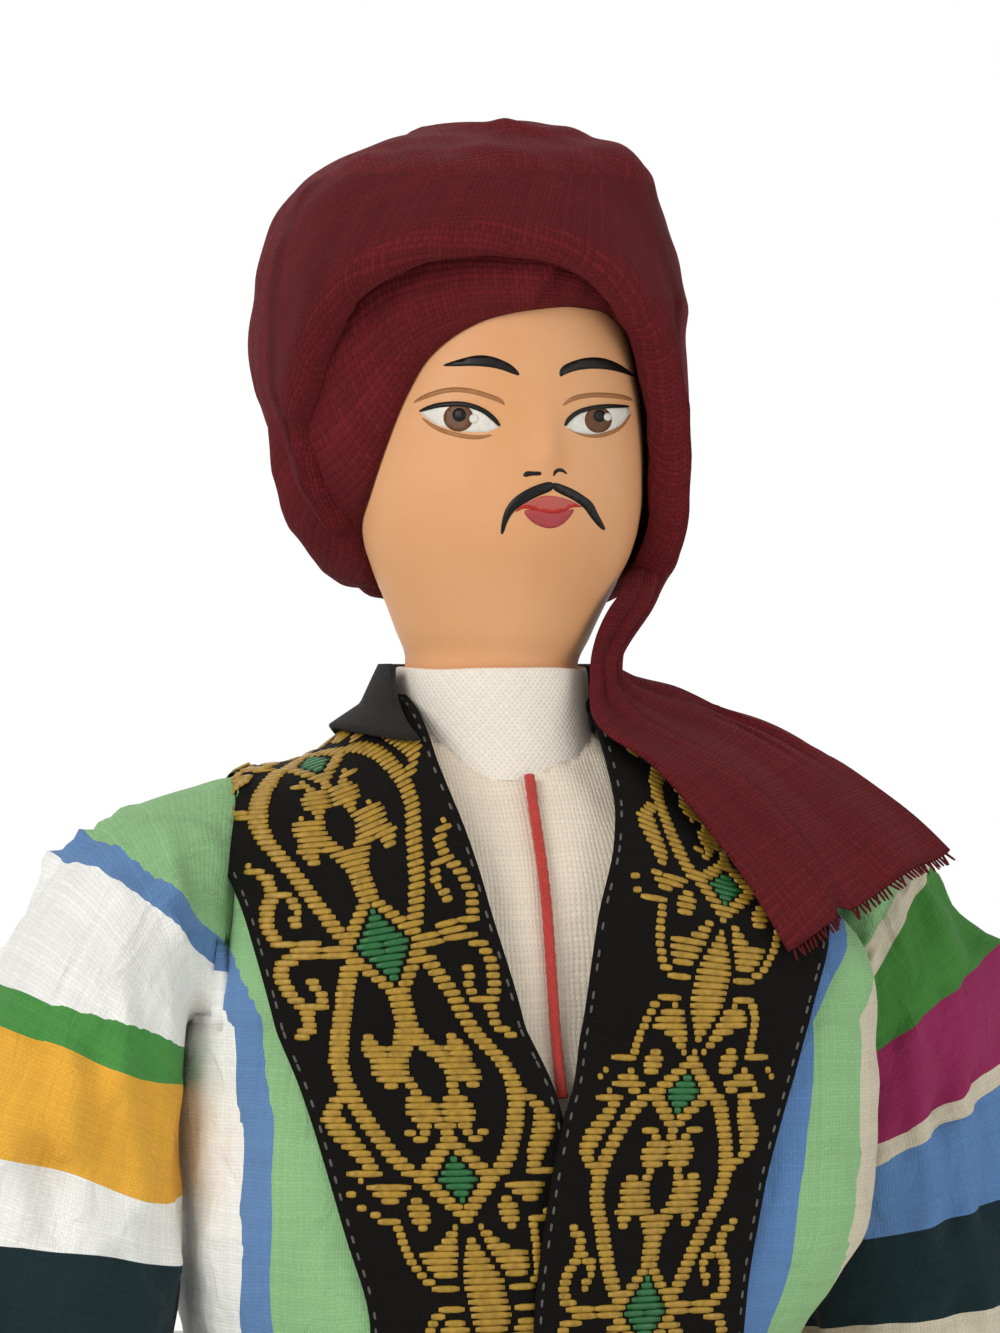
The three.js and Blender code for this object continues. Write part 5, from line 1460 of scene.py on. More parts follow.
@dataclass
class Head:
    """The turned wooden head and neck, with its painted face.

    outline gives the radius by the height above the collar's top, and nose its azimuth, height, rise, half
    width and half height.
    """

    collar_top: float = 246.5
    lean: float = 2.5
    nose: tuple[float, float, float, float, float] = (0.5, 24.6, 0.95, 2.6, 4.6)
    outline: Table = Table([(-12.5, 9.35), (-6.25, 9.35), (-1, 10.15), (0.6, 10.15), (4.2, 11.5), (7.3, 12.8),
                            (11.2, 14.6), (14, 15.8), (17.3, 16.65), (21, 17), (25.5, 16.9), (30, 16.5),
                            (34.5, 15.8), (40, 14.5), (45.5, 12.3), (50.8, 9.2), (54.7, 5), (56.5, 0.8)])
    tree: BVHTree | None = None

    def at(self, azimuth: Numbers, height: Numbers, out: Numbers = 0.0) -> Array:
        """Gives points of the head.

        Args:
            azimuth: degrees from straight ahead, towards the doll's left.
            height: mm above the collar's top, along the head's axis.
            out: mm outside the wood.

        Returns:
            The points in mm.
        """
        azimuth, height = np.broadcast_arrays(np.radians(azimuth), np.asarray(height, float))
        radius = self.outline(height) + out
        x, y = radius * np.sin(azimuth), -radius * np.cos(azimuth)
        tip = math.radians(self.lean)
        return np.stack([x * math.cos(tip) + height * math.sin(tip), y,
                         self.collar_top - x * math.sin(tip) + height * math.cos(tip)], -1)

    def wood(self) -> None:
        """Turns the head and neck, with the low nose carved on it."""
        azimuths = np.linspace(-180, 180, 193)[:-1]
        heights = np.interp(np.linspace(0, 1, 130), np.linspace(0, 1, 8),
                            (-12.5, -1, 8, 17, 30, 42, 52, 56.5))
        middle, level, rise, wide, high = self.nose
        away = np.radians(azimuths - middle)[None, :] * self.outline(heights)[:, None]
        up = (heights - level)[:, None]
        high_here = np.where(up < 0, high * 0.45, high)
        bump = rise * np.exp(-(away / (wide * 0.62)) ** 2 - (up / high_here) ** 2)
        grid = Grid(self.at(azimuths, heights[:, None], bump), wraps=True, caps=True)
        piece = grid.build("head_wood")
        self.tree = surface_of(piece)
        place(piece, FINISH.skin, "painted_wood", Body.HEAD, "head")

    def decal(self, name: str, outline: Line, height: float, finish: Finish) -> None:
        """Lays a thin film of paint on the wood.

        Args:
            name: the stroke's name.
            outline: its outline in the photograph's pixels, closed.
            height: the paint's thickness in mm.
            finish: the enamel.
        """
        line = np.array(outline, float)
        for _ in range(2):
            after = np.roll(line, -1, 0)
            line = np.stack([line * 0.75 + after * 0.25, line * 0.25 + after * 0.75], 1).reshape(-1, 2)
        low, high = line.min(0), line.max(0)
        step = max(2.0, min(4.0, float((high - low).min()) / 3))
        across, up = np.meshgrid(np.arange(low[0], high[0], step), np.arange(low[1], high[1], step))
        spots = np.stack([across.ravel(), up.ravel()], -1)
        rim = near_line(spots[:, 0], spots[:, 1], [*map(tuple, line), tuple(line[0])])
        spots = spots[inside(spots[:, 0], spots[:, 1], list(map(tuple, line))) & (rim > step * 0.45)]
        flat = [Vector(p) for p in np.vstack([line, spots])]
        count = len(line)
        places, _, faces, *_ = delaunay_2d_cdt(flat, [], [list(range(count))], 1, 1e-5)
        top, bottom = [], []
        for index, pixel in enumerate(places):
            hit = CAMERA.hit(pixel, self.tree)
            if hit is None:
                raise ValueError(f"{name} leaves the head")
            rise = height if index >= count else max(height * 0.4, height - 0.035)
            top.append(np.array(hit[0]) / MM + np.array(hit[1]) * rise)
            bottom.append(np.array(hit[0]) / MM - np.array(hit[1]) * 0.03)
        total = len(places)
        turned = [face[::-1] if self.clockwise(places, face) else list(face) for face in faces]
        shell = turned + [[total + k for k in face[::-1]] for face in turned]
        edges = {pair: None for face in turned for pair in zip(face, [*face[1:], face[0]])}
        shell += [[b, a, total + a, total + b] for a, b in edges if (b, a) not in edges]
        place(mesh_piece(name, np.array(top + bottom), shell), finish, "painted_wood", Body.HEAD)

    @staticmethod
    def clockwise(places: Sequence[Vector], face: Sequence[int]) -> bool:
        """Says whether a face turns the wrong way to face the camera, as picture rows count down."""
        return sum(places[a].x * places[b].y - places[b].x * places[a].y
                   for a, b in zip(face, [*face[1:], face[0]])) > 0

    def stroke(self, name: str, line: Line, width: float, height: float,
               finish: Finish, end: float = 0.35) -> None:
        """Paints a brush stroke along a line.

        Args:
            name: the stroke's name.
            line: the stroke's middle, in the photograph's pixels.
            width: its width in pixels.
            height: the paint's thickness in mm.
            finish: the enamel.
            end: the share of the width that is left at its ends.
        """
        points = np.array(line, float)
        ways = unit(np.gradient(points, axis=0))
        share = np.linspace(0, 1, len(points))
        full = np.minimum(1, end + 4 * np.minimum(share, 1 - share))
        side = np.stack([-ways[:, 1], ways[:, 0]], -1) * (width / 2 * full)[:, None]
        self.decal(name, np.vstack([points + side, (points - side)[::-1]]), height, finish)

    def face(self) -> None:
        """Paints the brows, eyes, nostrils, moustache and lips."""
        # Enamels: thin and satin, a little rougher where they are mixed with white or red.
        enamel = Finishes.enamel
        black, white = enamel("black", "#16130F"), enamel("white", "#EFE9DE")
        brown, tan = enamel("brown", "#6B4428"), enamel("tan", "#B27A4C", 0.36)
        rose = enamel("rose", "#C8625A", 0.36)
        deep_rose, red = enamel("deep_rose", "#B84A4E", 0.34), enamel("red", "#C4302A", 0.34)
        dark = enamel("nostril", "#1C1612", 0.4)
        self.decal("brow_right", BROW_RIGHT, 0.06, black)
        self.decal("brow_left", BROW_LEFT, 0.06, black)
        for side, eye in EYES.items():
            self.stroke(f"eye_crease_{side}", eye.crease, 5.0, 0.04, tan)
            self.stroke(f"lower_lid_{side}", eye.lower_lid, 4.5, 0.04, tan)
            self.decal(f"eye_white_{side}", [*eye.lid, *eye.white[::-1]], 0.045, white)
            self.decal(f"iris_{side}", self.disc(eye.iris, 12), 0.11, brown)
            self.decal(f"pupil_{side}", self.disc(eye.pupil, 10), 0.15, black)
            self.stroke(f"upper_lid_{side}", eye.lid, eye.lid_width, 0.14, black, 0.5)
            self.decal(f"eye_light_{side}", self.disc(eye.light, 8), 0.17, white)
        self.decal("nostril_right", NOSTRIL_RIGHT, 0.05, dark)
        self.stroke("nostril_left", NOSTRIL_LEFT, 4, 0.05, dark)
        self.decal("moustache_right", MOUSTACHE_RIGHT, 0.08, black)
        self.decal("moustache_left", MOUSTACHE_LEFT, 0.08, black)
        self.decal("upper_lip", UPPER_LIP, 0.045, rose)
        self.decal("lower_lip", LOWER_LIP, 0.05, deep_rose)
        self.stroke("lip_line", LIP_LINE, 4, 0.065, red)

    @staticmethod
    def disc(size: tuple[float, float, float, float], count: int) -> list[tuple[float, float]]:
        """Gives an oval's outline from its middle and its half sizes across and up, in pixels.

        Args:
            size: x and y of its middle, then its half sizes.
            count: how many corners it has.

        Returns:
            The outline.
        """
        x, y, wide, high = size
        swell = 1 / (0.25 + 0.75 * math.cos(math.pi / count)) ** 2
        return [(x + wide * swell * math.cos(t), y + high * swell * math.sin(t))
                for t in np.linspace(0, RING, count + 1)[:-1]]

    def build(self) -> None:
        """Builds the head and paints it."""
        self.wood()
        self.face()


@dataclass(frozen=True)
class Eye:
    """One painted eye, in the photograph's pixels."""

    crease: tuple
    lid: tuple
    lid_width: float
    white: tuple
    lower_lid: tuple
    iris: tuple
    pupil: tuple
    light: tuple


EYES = {
    "right": Eye(
        ((413.7, 402.4), (425, 396.3), (445.3, 389.8), (465.7, 389.6), (486, 394.9), (500.4, 400.4),
         (504.5, 404.5)),
        ((419.5, 411.4), (435, 405.5), (455.5, 403.5), (469.8, 405), (484, 410.6), (494, 418.8),
         (500, 426)), 5.0,
        ((421.8, 413.6), (431, 421.8), (447, 429), (467.8, 432), (488, 432.5), (498, 428)),
        ((421.8, 417.8), (435, 428), (455.5, 435), (478, 438), (492, 435)),
        (458.6, 417.8, 14.6, 13.4), (459.6, 414.9, 6.7, 6.7), (474, 418.8, 4.4, 4.4)),
    "left": Eye(
        ((562.7, 405.5), (571.8, 398.4), (588, 394.9), (606.5, 394.9), (624.9, 397.3), (633, 400.4)),
        ((564.7, 425.9), (568.8, 418.8), (578, 411.6), (592, 407.6), (608.6, 405.9), (629, 406.5)), 4.5,
        ((565.9, 427.2), (576, 432.6), (592, 434.8), (606.5, 432), (620.8, 425.9), (629.6, 413.7)),
        ((567.8, 428), (584, 435), (602.4, 436), (620.8, 428), (631, 413.7)),
        (598, 419.8, 13.2, 12.8), (598.8, 415.9, 6, 6), (607, 416.9, 3.7, 3.7)),
}
BROW_RIGHT = ((439, 366), (458, 359.4), (478, 354.5), (494, 356.5), (510.6, 363.7), (518.8, 371.8),
              (519.8, 376), (512.7, 373.9), (502.4, 369.8), (490, 367), (471.8, 365.7), (455.5, 366.4))
BROW_LEFT = ((559, 372), (562, 366.4), (569.8, 362), (584, 357.6), (600, 357), (614.7, 361.4), (627, 368.8),
             (637, 378), (625, 373.6), (610.6, 369.8), (594, 368.3), (578, 369.8), (565.7, 373.9),
             (560, 377.5))
NOSTRIL_RIGHT = ((522.5, 475), (526, 470.8), (534, 471.4), (541.5, 471.4), (541.5, 475.6), (532, 475.4),
                 (525, 477.4))
NOSTRIL_LEFT = ((553.5, 476), (555.5, 470.8), (561.6, 469.4), (567, 473.9))
MOUSTACHE_RIGHT = ((553.5, 482.5), (547.5, 481.5), (535, 485.4), (522.9, 491.4), (512.7, 498.8), (505, 509),
                   (501.6, 521.8), (500.4, 535), (503.9, 533), (505.9, 524.9), (511, 514.7), (519, 506.7),
                   (529, 500.8), (541, 494.8), (548, 492.4), (553.5, 489))
MOUSTACHE_LEFT = ((552.5, 482.5), (559, 483.4), (571.8, 488.4), (584, 495.7), (593, 502.9), (597, 512.4),
                  (602, 521.4), (606, 530), (602, 529.8), (596, 524), (589.6, 515.9), (583.6, 507),
                  (571.4, 498.8), (559, 493.4), (552.5, 489))
UPPER_LIP = ((521, 505), (531, 500.8), (539, 496.6), (547, 495.2), (557.6, 496.4), (569.8, 500), (581, 505.4),
             (571.8, 506), (563.7, 510.6), (551.4, 512.6), (535, 508.6))
LOWER_LIP = ((521.6, 510), (531, 522), (543, 527.8), (553.5, 528.6), (563.7, 524), (571.8, 514.9), (575, 508),
             (563.7, 511), (551.4, 513), (535, 509))
LIP_LINE = ((515.7, 511.6), (522.9, 506), (535, 508), (551.4, 511.8), (563.7, 509.8), (571.8, 504.9),
            (582, 506.6))
HEAD = Head()


@dataclass
class Turban:
    """The wound wool turban: the wrap across the brow, the big outer wrap, and the strand with its tail.

    silhouette gives height, left and right edge as the camera sees them, arch the lip's height by the way
    across, rear_lip by degrees, face_edge and under_lip the inner wrap's edges by the head's azimuth, and
    strand_front and strand_back the strand's two edges.
    """

    silhouette: tuple = (
        (310.1, -0.2, 0), (309.8, -4.5, 3.6), (309.4, -7, 5.8), (308.6, -11, 8.8), (307.7, -13.8, 11.6),
        (306.3, -17.6, 16.4), (303.9, -21.9, 18.7), (301, -24.4, 19.7), (298, -25.9, 20.5),
        (294.5, -27.1, 21.4), (291, -28, 22.2), (286.3, -28.4, 22.9), (280, -27.9, 23.4),
        (274.5, -26.3, 23.5), (270, -24.5, 23.4), (266.3, -22.5, 23.2), (261, -19.2, 21.6),
        (256.3, -17, 18.7), (252, -15.6, 16))
    arch: Table = Table([
        (-22.5, 273.3), (-17.2, 287.4), (-12.5, 291.6), (-7.2, 293.8), (-1.3, 294.7), (4.6, 294.3),
        (9.3, 292.7), (12.8, 290.4), (16.4, 286.3), (18.7, 281.6), (19.9, 275.7), (20.8, 268.6)])
    rear_lip: Table = Table([(-210, 256.5), (-195, 266), (-180, 259.5), (-150, 255.5), (-90, 254.5),
                             (-30, 256), (0, 257), (10, 258.5), (20, 261), (30, 264)])
    face_edge: Table = Table([
        (-180, 9.4), (-112, 9), (-101, 11), (-95, 14.5), (-78, 19.5), (-68, 25.1), (-60, 30.5), (-51, 35.1),
        (-36, 38.5), (-23, 40.1), (-3, 41.3), (16, 41.9), (32, 41.8), (52, 39.8), (72, 36.8), (84, 28),
        (93, 16), (102, 10), (180, 9.4)])
    under_lip: Table = Table([
        (-180, 11.5), (-140, 10.5), (-117, 12.5), (-106, 18.5), (-96, 27.5), (-86, 36.5), (-70, 43.3),
        (-50, 48), (-30, 50.5), (0, 50.9), (30, 46.9), (50, 42.8), (65, 38.5), (75, 31.5), (85, 21.5),
        (95, 14), (120, 11), (180, 11.5)])
    strand_front: Table = Table([
        (0, 21.5, -3, 270.6), (1, 17.9, -5.7, 264), (2, 16.1, -5, 258), (3, 11.6, -8.9, 254.5),
        (4, 9.2, -9.2, 249.8), (5, 8.3, -9.8, 246.8), (6, 7.6, -11.9, 242), (7, 8.3, -14.3, 238.9),
        (8, 13.3, -16.4, 234.9), (9, 18.9, -20, 228.8), (10, 26.3, -27.6, 213.7)])
    strand_back: Table = Table([
        (0, 21.3, 6.4, 270.6), (1, 21.2, 2.5, 264), (1.7, 21.5, -1.9, 261), (2.6, 18.7, -2.6, 256.3),
        (4, 13.8, -3.7, 249.8), (5, 12.8, -5.2, 246.8), (5.5, 14.2, -3.5, 245.5), (8, 32.6, -2, 240.4),
        (9, 44.7, -8, 232), (10, 52.2, -14.5, 225)])
    grow: float = 1.004

    def __post_init__(self) -> None:
        """Sets out the wrap's outline by the way down from its crown."""
        rows = np.array(self.silhouette)
        way = lengths(np.stack([(rows[:, 2] - rows[:, 1]) / 2, rows[:, 0]], -1))
        self.down = Table([(s, *row) for s, row in zip(way, rows)])
        self.way_at = Table([(row[0], s) for s, row in zip(way, rows)])

    def shell(self, turn: Array, way: Array) -> Array:
        """Gives points of the outer wrap before its folds.

        Args:
            turn: degrees from the camera's right, towards the camera.
            way: mm down from the crown, along the outline.

        Returns:
            The points in mm.
        """
        row = self.down(way)
        z, left, right = row[..., 0], row[..., 1], row[..., 2]
        middle, half = (left + right) / 2, (right - left) / 2
        back = np.interp(z, (252, 266, 280), (-2, -4, -5)) * np.minimum(1, half / 16)
        x, y = squared(np.radians(turn), 2.2)
        u = CAMERA.middle[0] + (middle + half * x - CAMERA.middle[0]) * self.grow
        d = back + 1.04 * half * y
        z = CAMERA.middle[1] + (z - CAMERA.middle[1]) * self.grow
        return u[..., None] * CAMERA.right + d[..., None] * CAMERA.near + z[..., None] * np.array([0, 0, 1.0])

    def lip_way(self, turns: Array, rolls: Array) -> Array:
        """Finds how far down the wrap's lip lies, so that its lower edge follows the arch over the face.

        Args:
            turns: degrees from the camera's right, towards the camera.
            rolls: the radius of the lip's roll at each turn, in mm.

        Returns:
            The way down from the crown, in mm.
        """
        # The arch over the face is seen drawn in about its middle by the roll's radius.
        middle_u, middle_z, half_width = -0.8, 268, 23
        lowest, highest = 253, 305
        height = np.full(turns.shape, 280.0)
        for _ in range(30):
            point = self.shell(turns, self.way_at(height))
            u, d = point @ CAMERA.right, point @ CAMERA.near
            share = (CAMERA.distance - d) / CAMERA.distance
            scale = 1 - rolls / half_width
            seen = middle_z + (self.arch(middle_u + (u / share - middle_u) * scale) - middle_z) / scale
            aim = CAMERA.middle[1] + (seen - CAMERA.middle[1]) * share
            height = height * 0.5 + np.clip(aim, lowest, highest) * 0.5
        rear = self.rear_lip(np.where(turns > 150, turns - 360, turns))
        front = smooth(12, 30, turns) * (1 - smooth(146, 158, turns))
        height = rear + (height - rear) * front
        kernel = np.array([1, 3, 5, 3, 1.0]) / 13
        for _ in range(3):
            height = sum(np.roll(height, k - 2) * kernel[k] for k in range(5))
        return self.way_at(height)

    def outer(self) -> None:
        """Winds the big outer wrap, with its rolled lip over the brow."""
        turns = np.linspace(0, 360, 281)[:-1]
        rolls = np.interp(turns, (0, 5, 10, 30, 130, 150, 165, 360), (1.5, 1.8, 2.2, 2.9, 2.9, 2.2, 1.5, 1.5))
        lip = self.lip_way(turns, rolls)
        steps = np.linspace(0, 1, 84)[:, None] ** 0.9
        grid = Grid(self.shell(turns[None, :], steps * lip), wraps=True)
        grid.face_away(40, grid.points[40].mean(0))
        outward = grid.normals()
        swollen = 1.1 * np.exp(-((1 - steps) * lip / 5.5) ** 2) * self.brow(turns)
        points = grid.points + outward * (self.folds(grid.points, turns) + swollen)[..., None]
        edge, way, face = points[-1], unit(points[-1] - points[-3]), outward[-2]
        rows = [edge + rolls[:, None] * (math.sin(angle) * way - (1 - math.cos(angle)) * face)
                for angle in np.linspace(0, math.pi * 0.93, 12)[1:]]
        rows += [rows[-1] + self.shell(turns, np.maximum(lip - step, 2)) - self.shell(turns, lip)
                 for step in (1.5, 3.5, 6, 9)]
        grid = Grid(np.concatenate([points, rows]), wraps=True, flip=grid.flip)
        piece = thicken(welded(grid.build("outer_wrap_wool")), 0.7)
        self.lay_crown_map(piece)
        place(piece, FINISH.turban, "turban_wool", Body.HEAD, "turban_outer_wrap", flat=(0.16, 0.078),
              held=Held.FOLDED, rests_on=("head",))

    @staticmethod
    def brow(turns: Array) -> Array:
        """Gives how far each angle belongs to the rolled brim over the brow, from 0 to 1."""
        return smooth(0, 18, turns) * (1 - smooth(142, 165, turns))

    @staticmethod
    def lay_crown_map(piece: Object, above: float = 303.5) -> None:
        """Lays the weave flat over the crown, where the wound map would pinch.

        Args:
            piece: the outer wrap.
            above: the height in mm from which it is flat.
        """
        layer = piece.data.uv_layers["weave"].data
        points = piece.data.vertices
        for face in piece.data.polygons:
            if face.center.z / MM > above:
                for corner in face.loop_indices:
                    spot = points[piece.data.loops[corner].vertex_index].co / MM
                    layer[corner].uv = (spot.x, spot.y)

    def folds(self, points: Array, turns: Array) -> Array:
        """Gives the height of the wrap's folds: a ridge at its right corner and laps round the back.

        Args:
            points: the places in mm, with three numbers each.
            turns: degrees from the camera's right, towards the camera.

        Returns:
            The height in mm at each point.
        """
        ridge_height, ridge_width = 0.75, 1.7
        crease_depth, crease_width = 0.55, 1.3
        lap_height, lap_width, lap_foot = 0.95, 8.5, 250
        ring_height, ring_radius, ring_width = 0.5, 9, 1.6
        u, z = points @ CAMERA.right, points[..., 2]
        seen = (smooth(-70, -40, np.where(turns > 180, turns - 360, turns))
                * (1 - smooth(150, 178, np.where(turns > 270, 0, turns))))[None, :]
        ridge = near_line(u, z, ((2, 310), (8, 309.3), (14, 307), (17.5, 303.5), (18.8, 299), (19.6, 294),
                                 (21, 289)))
        height = ridge_height * np.exp(-(ridge / ridge_width) ** 2) * seen
        crease = near_line(u, z, ((-18.9, 289.8), (-20.6, 283), (-22.5, 274.5)))
        height = height - crease_depth * np.exp(-(crease / crease_width) ** 2) * seen
        turn = np.radians(turns)[None, :]
        wound = (z - lap_foot) / lap_width + 0.55 * np.cos(turn + 0.6) + 0.12 * np.sin(3 * turn)
        step = wound % 1
        lap = lap_height * smooth(0, 0.12, step) * (1 - step)
        behind = (smooth(198, 232, turns) * (1 - smooth(308, 342, turns)))[None, :]
        low = 1 - smooth(301, 307, z)
        height = height + lap * behind * low
        crown = np.hypot(points[..., 0] - 2, points[..., 1] - 4)
        away = crown - ring_radius - 2 * np.sin(2 * turn)
        height = height + ring_height * np.exp(-(away / ring_width) ** 2) * (1 - low)
        return height + 0.22 * waves(points, 13, 61) + 0.09 * waves(points, 5, 62)

    def inner(self) -> None:
        """Winds the wrap that crosses the brow, from the face's edge up under the outer wrap."""
        azimuths = np.linspace(-180, 180, 221)[:-1]
        edge, under = self.face_edge(azimuths), self.under_lip(azimuths)
        start = HEAD.at(azimuths, edge, 0.2)
        height = HEAD.collar_top + under + np.interp(azimuths, (-120, -80, 80, 100), (1, 4, 4, 1))
        end = self.shell((72 - azimuths) % 360, self.way_at(height))
        out = unit((end - [1.6, 1.5, 0]) * [1, 1, 0])
        depth = np.interp(azimuths, (-120, -85, -60, 75, 95, 120), (3, 3.4, 6, 6, 3.4, 3))
        end = end - out * depth[:, None]
        share = np.linspace(0, 1, 34)[:, None]
        swell = np.interp(azimuths, (-180, -130, -100, -75, -40, 60, 90, 120, 180),
                          (2, 4, 5.5, 3.5, 1.6, 1.4, 0.8, 1.2, 2))
        bulge = np.sin(np.pi * share ** 0.8) * swell + 1.1 * (1 - np.exp(-share * 16))
        points = start * (1 - share[..., None]) + end * share[..., None] + out * bulge[..., None]
        tall = share * (under - edge) + edge
        lift = 0.16 * waves(points, 9, 71) + 0.08 * waves(points, 4, 72)
        for first, last, step in (((22, 49.5), (-16, 38.5), 1.5), ((45, 42), (68, 33), 0.6),
                                  ((-30, 48), (-62, 30), 0.5)):
            lift = lift + step * self.lap(azimuths, tall, first, last)
        grid = Grid(points, wraps=True)
        grid.push(lift * np.minimum(1, share * 6))
        place(thicken(grid.build("inner_wrap_wool"), 0.8), FINISH.turban, "turban_wool", Body.HEAD,
              "turban_inner_wrap", flat=(0.115, 0.014), held=Held.FOLDED, rests_on=("head",))

    @staticmethod
    def lap(wide: Array, tall: Array, first: tuple[float, float], last: tuple[float, float]) -> Array:
        """Gives how thick one layer is, whose edge crosses the wrap from one place to another.

        Args:
            wide: degrees from straight ahead.
            tall: the heights above the collar, in mm.
            first: the degrees and the height where the edge starts.
            last: where it ends.

        Returns:
            The share of the layer's thickness at each place.
        """
        mm_per_degree, thinning = 0.27, 2.5
        dx, dy = (last[0] - first[0]) * mm_per_degree, last[1] - first[1]
        size = math.hypot(dx, dy)
        x, y = (wide - first[0]) * mm_per_degree, tall - first[1]
        along, away = (x * dx + y * dy) / size, (x * dy - y * dx) / size
        ends = smooth(-2, 1, along) * (1 - smooth(size - 1, size + 2, along))
        return smooth(-0.25, 0.25, away) * np.exp(-np.maximum(away, 0) / thinning) * ends

    def tail(self) -> None:
        """Hangs the strand from the outer wrap, down beside the neck and out as a tail over the shoulder."""
        stations = np.linspace(0, 10, 120)
        share = np.linspace(0, 1, 49)
        a, b = self.strand_front(stations)[:, None], self.strand_back(stations)[:, None]
        grid = Grid(a + (b - a) * share[None, :, None])
        points = grid.points
        grid.face_away(60, np.array([2.0, 2.0, 0]))
        narrow = (1 - smooth(5.0, 8.0, stations))[:, None]
        bow = np.sin(np.pi * share)
        plies = np.abs(np.sin(np.pi * (share * (4.2 - 1.5 * (1 - narrow)) + 0.05 * stations[:, None])))
        height = narrow * (2.1 * bow + 0.75 * plies) + (1 - narrow) * (0.8 * bow + 0.4 * plies)
        grid.push(height + 0.25 * waves(points, 11, 81) + (1 - narrow) * 0.35 * waves(points, 17, 82))
        over = stations > 5.2
        lifted = clear_of_covers(grid.points[over], 1.0)
        for _ in range(26):
            lifted[1:-1] = lifted[:-2] / 4 + lifted[1:-1] / 2 + lifted[2:] / 4
        grid.points[over] = lifted
        for _ in range(2):
            points = grid.points
            beside = points[:-2, 1:-1] + points[2:, 1:-1] + points[1:-1, :-2] + points[1:-1, 2:]
            points[1:-1, 1:-1] = points[1:-1, 1:-1] * 0.6 + beside * 0.1
        grid.push(0.35 * np.exp(-(share / 0.05) ** 2) * smooth(6, 8, stations)[:, None])
        end, ups, run = grid.points[-1], grid.normals()[-1], grid.points[-1] - grid.points[-3]
        piece = thicken(grid.build("tail_wool"), 0.7, inwards=False)
        place(piece, FINISH.turban, "turban_wool", None, "turban_tail", "turban_strand", flat=(0.027, 0.078),
              held=Held.FOLDED, rests_on=("turban_outer_wrap", "robe_body"))
        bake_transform(piece)
        fringe = Threads()
        draw = np.random.default_rng(9)
        for index in range(1, len(share) - 1):
            fringe.fray(end[index] + ups[index] * 0.35, ups[index], run[index], (0.7, 0.3), 0.5, 0.16, draw)
        fringe.build("tail_fringe", 0.35, 0.3, FINISH.turban, "turban_wool")

    def build(self) -> None:
        """Winds the turban."""
        self.inner()
        self.outer()
        self.tail()


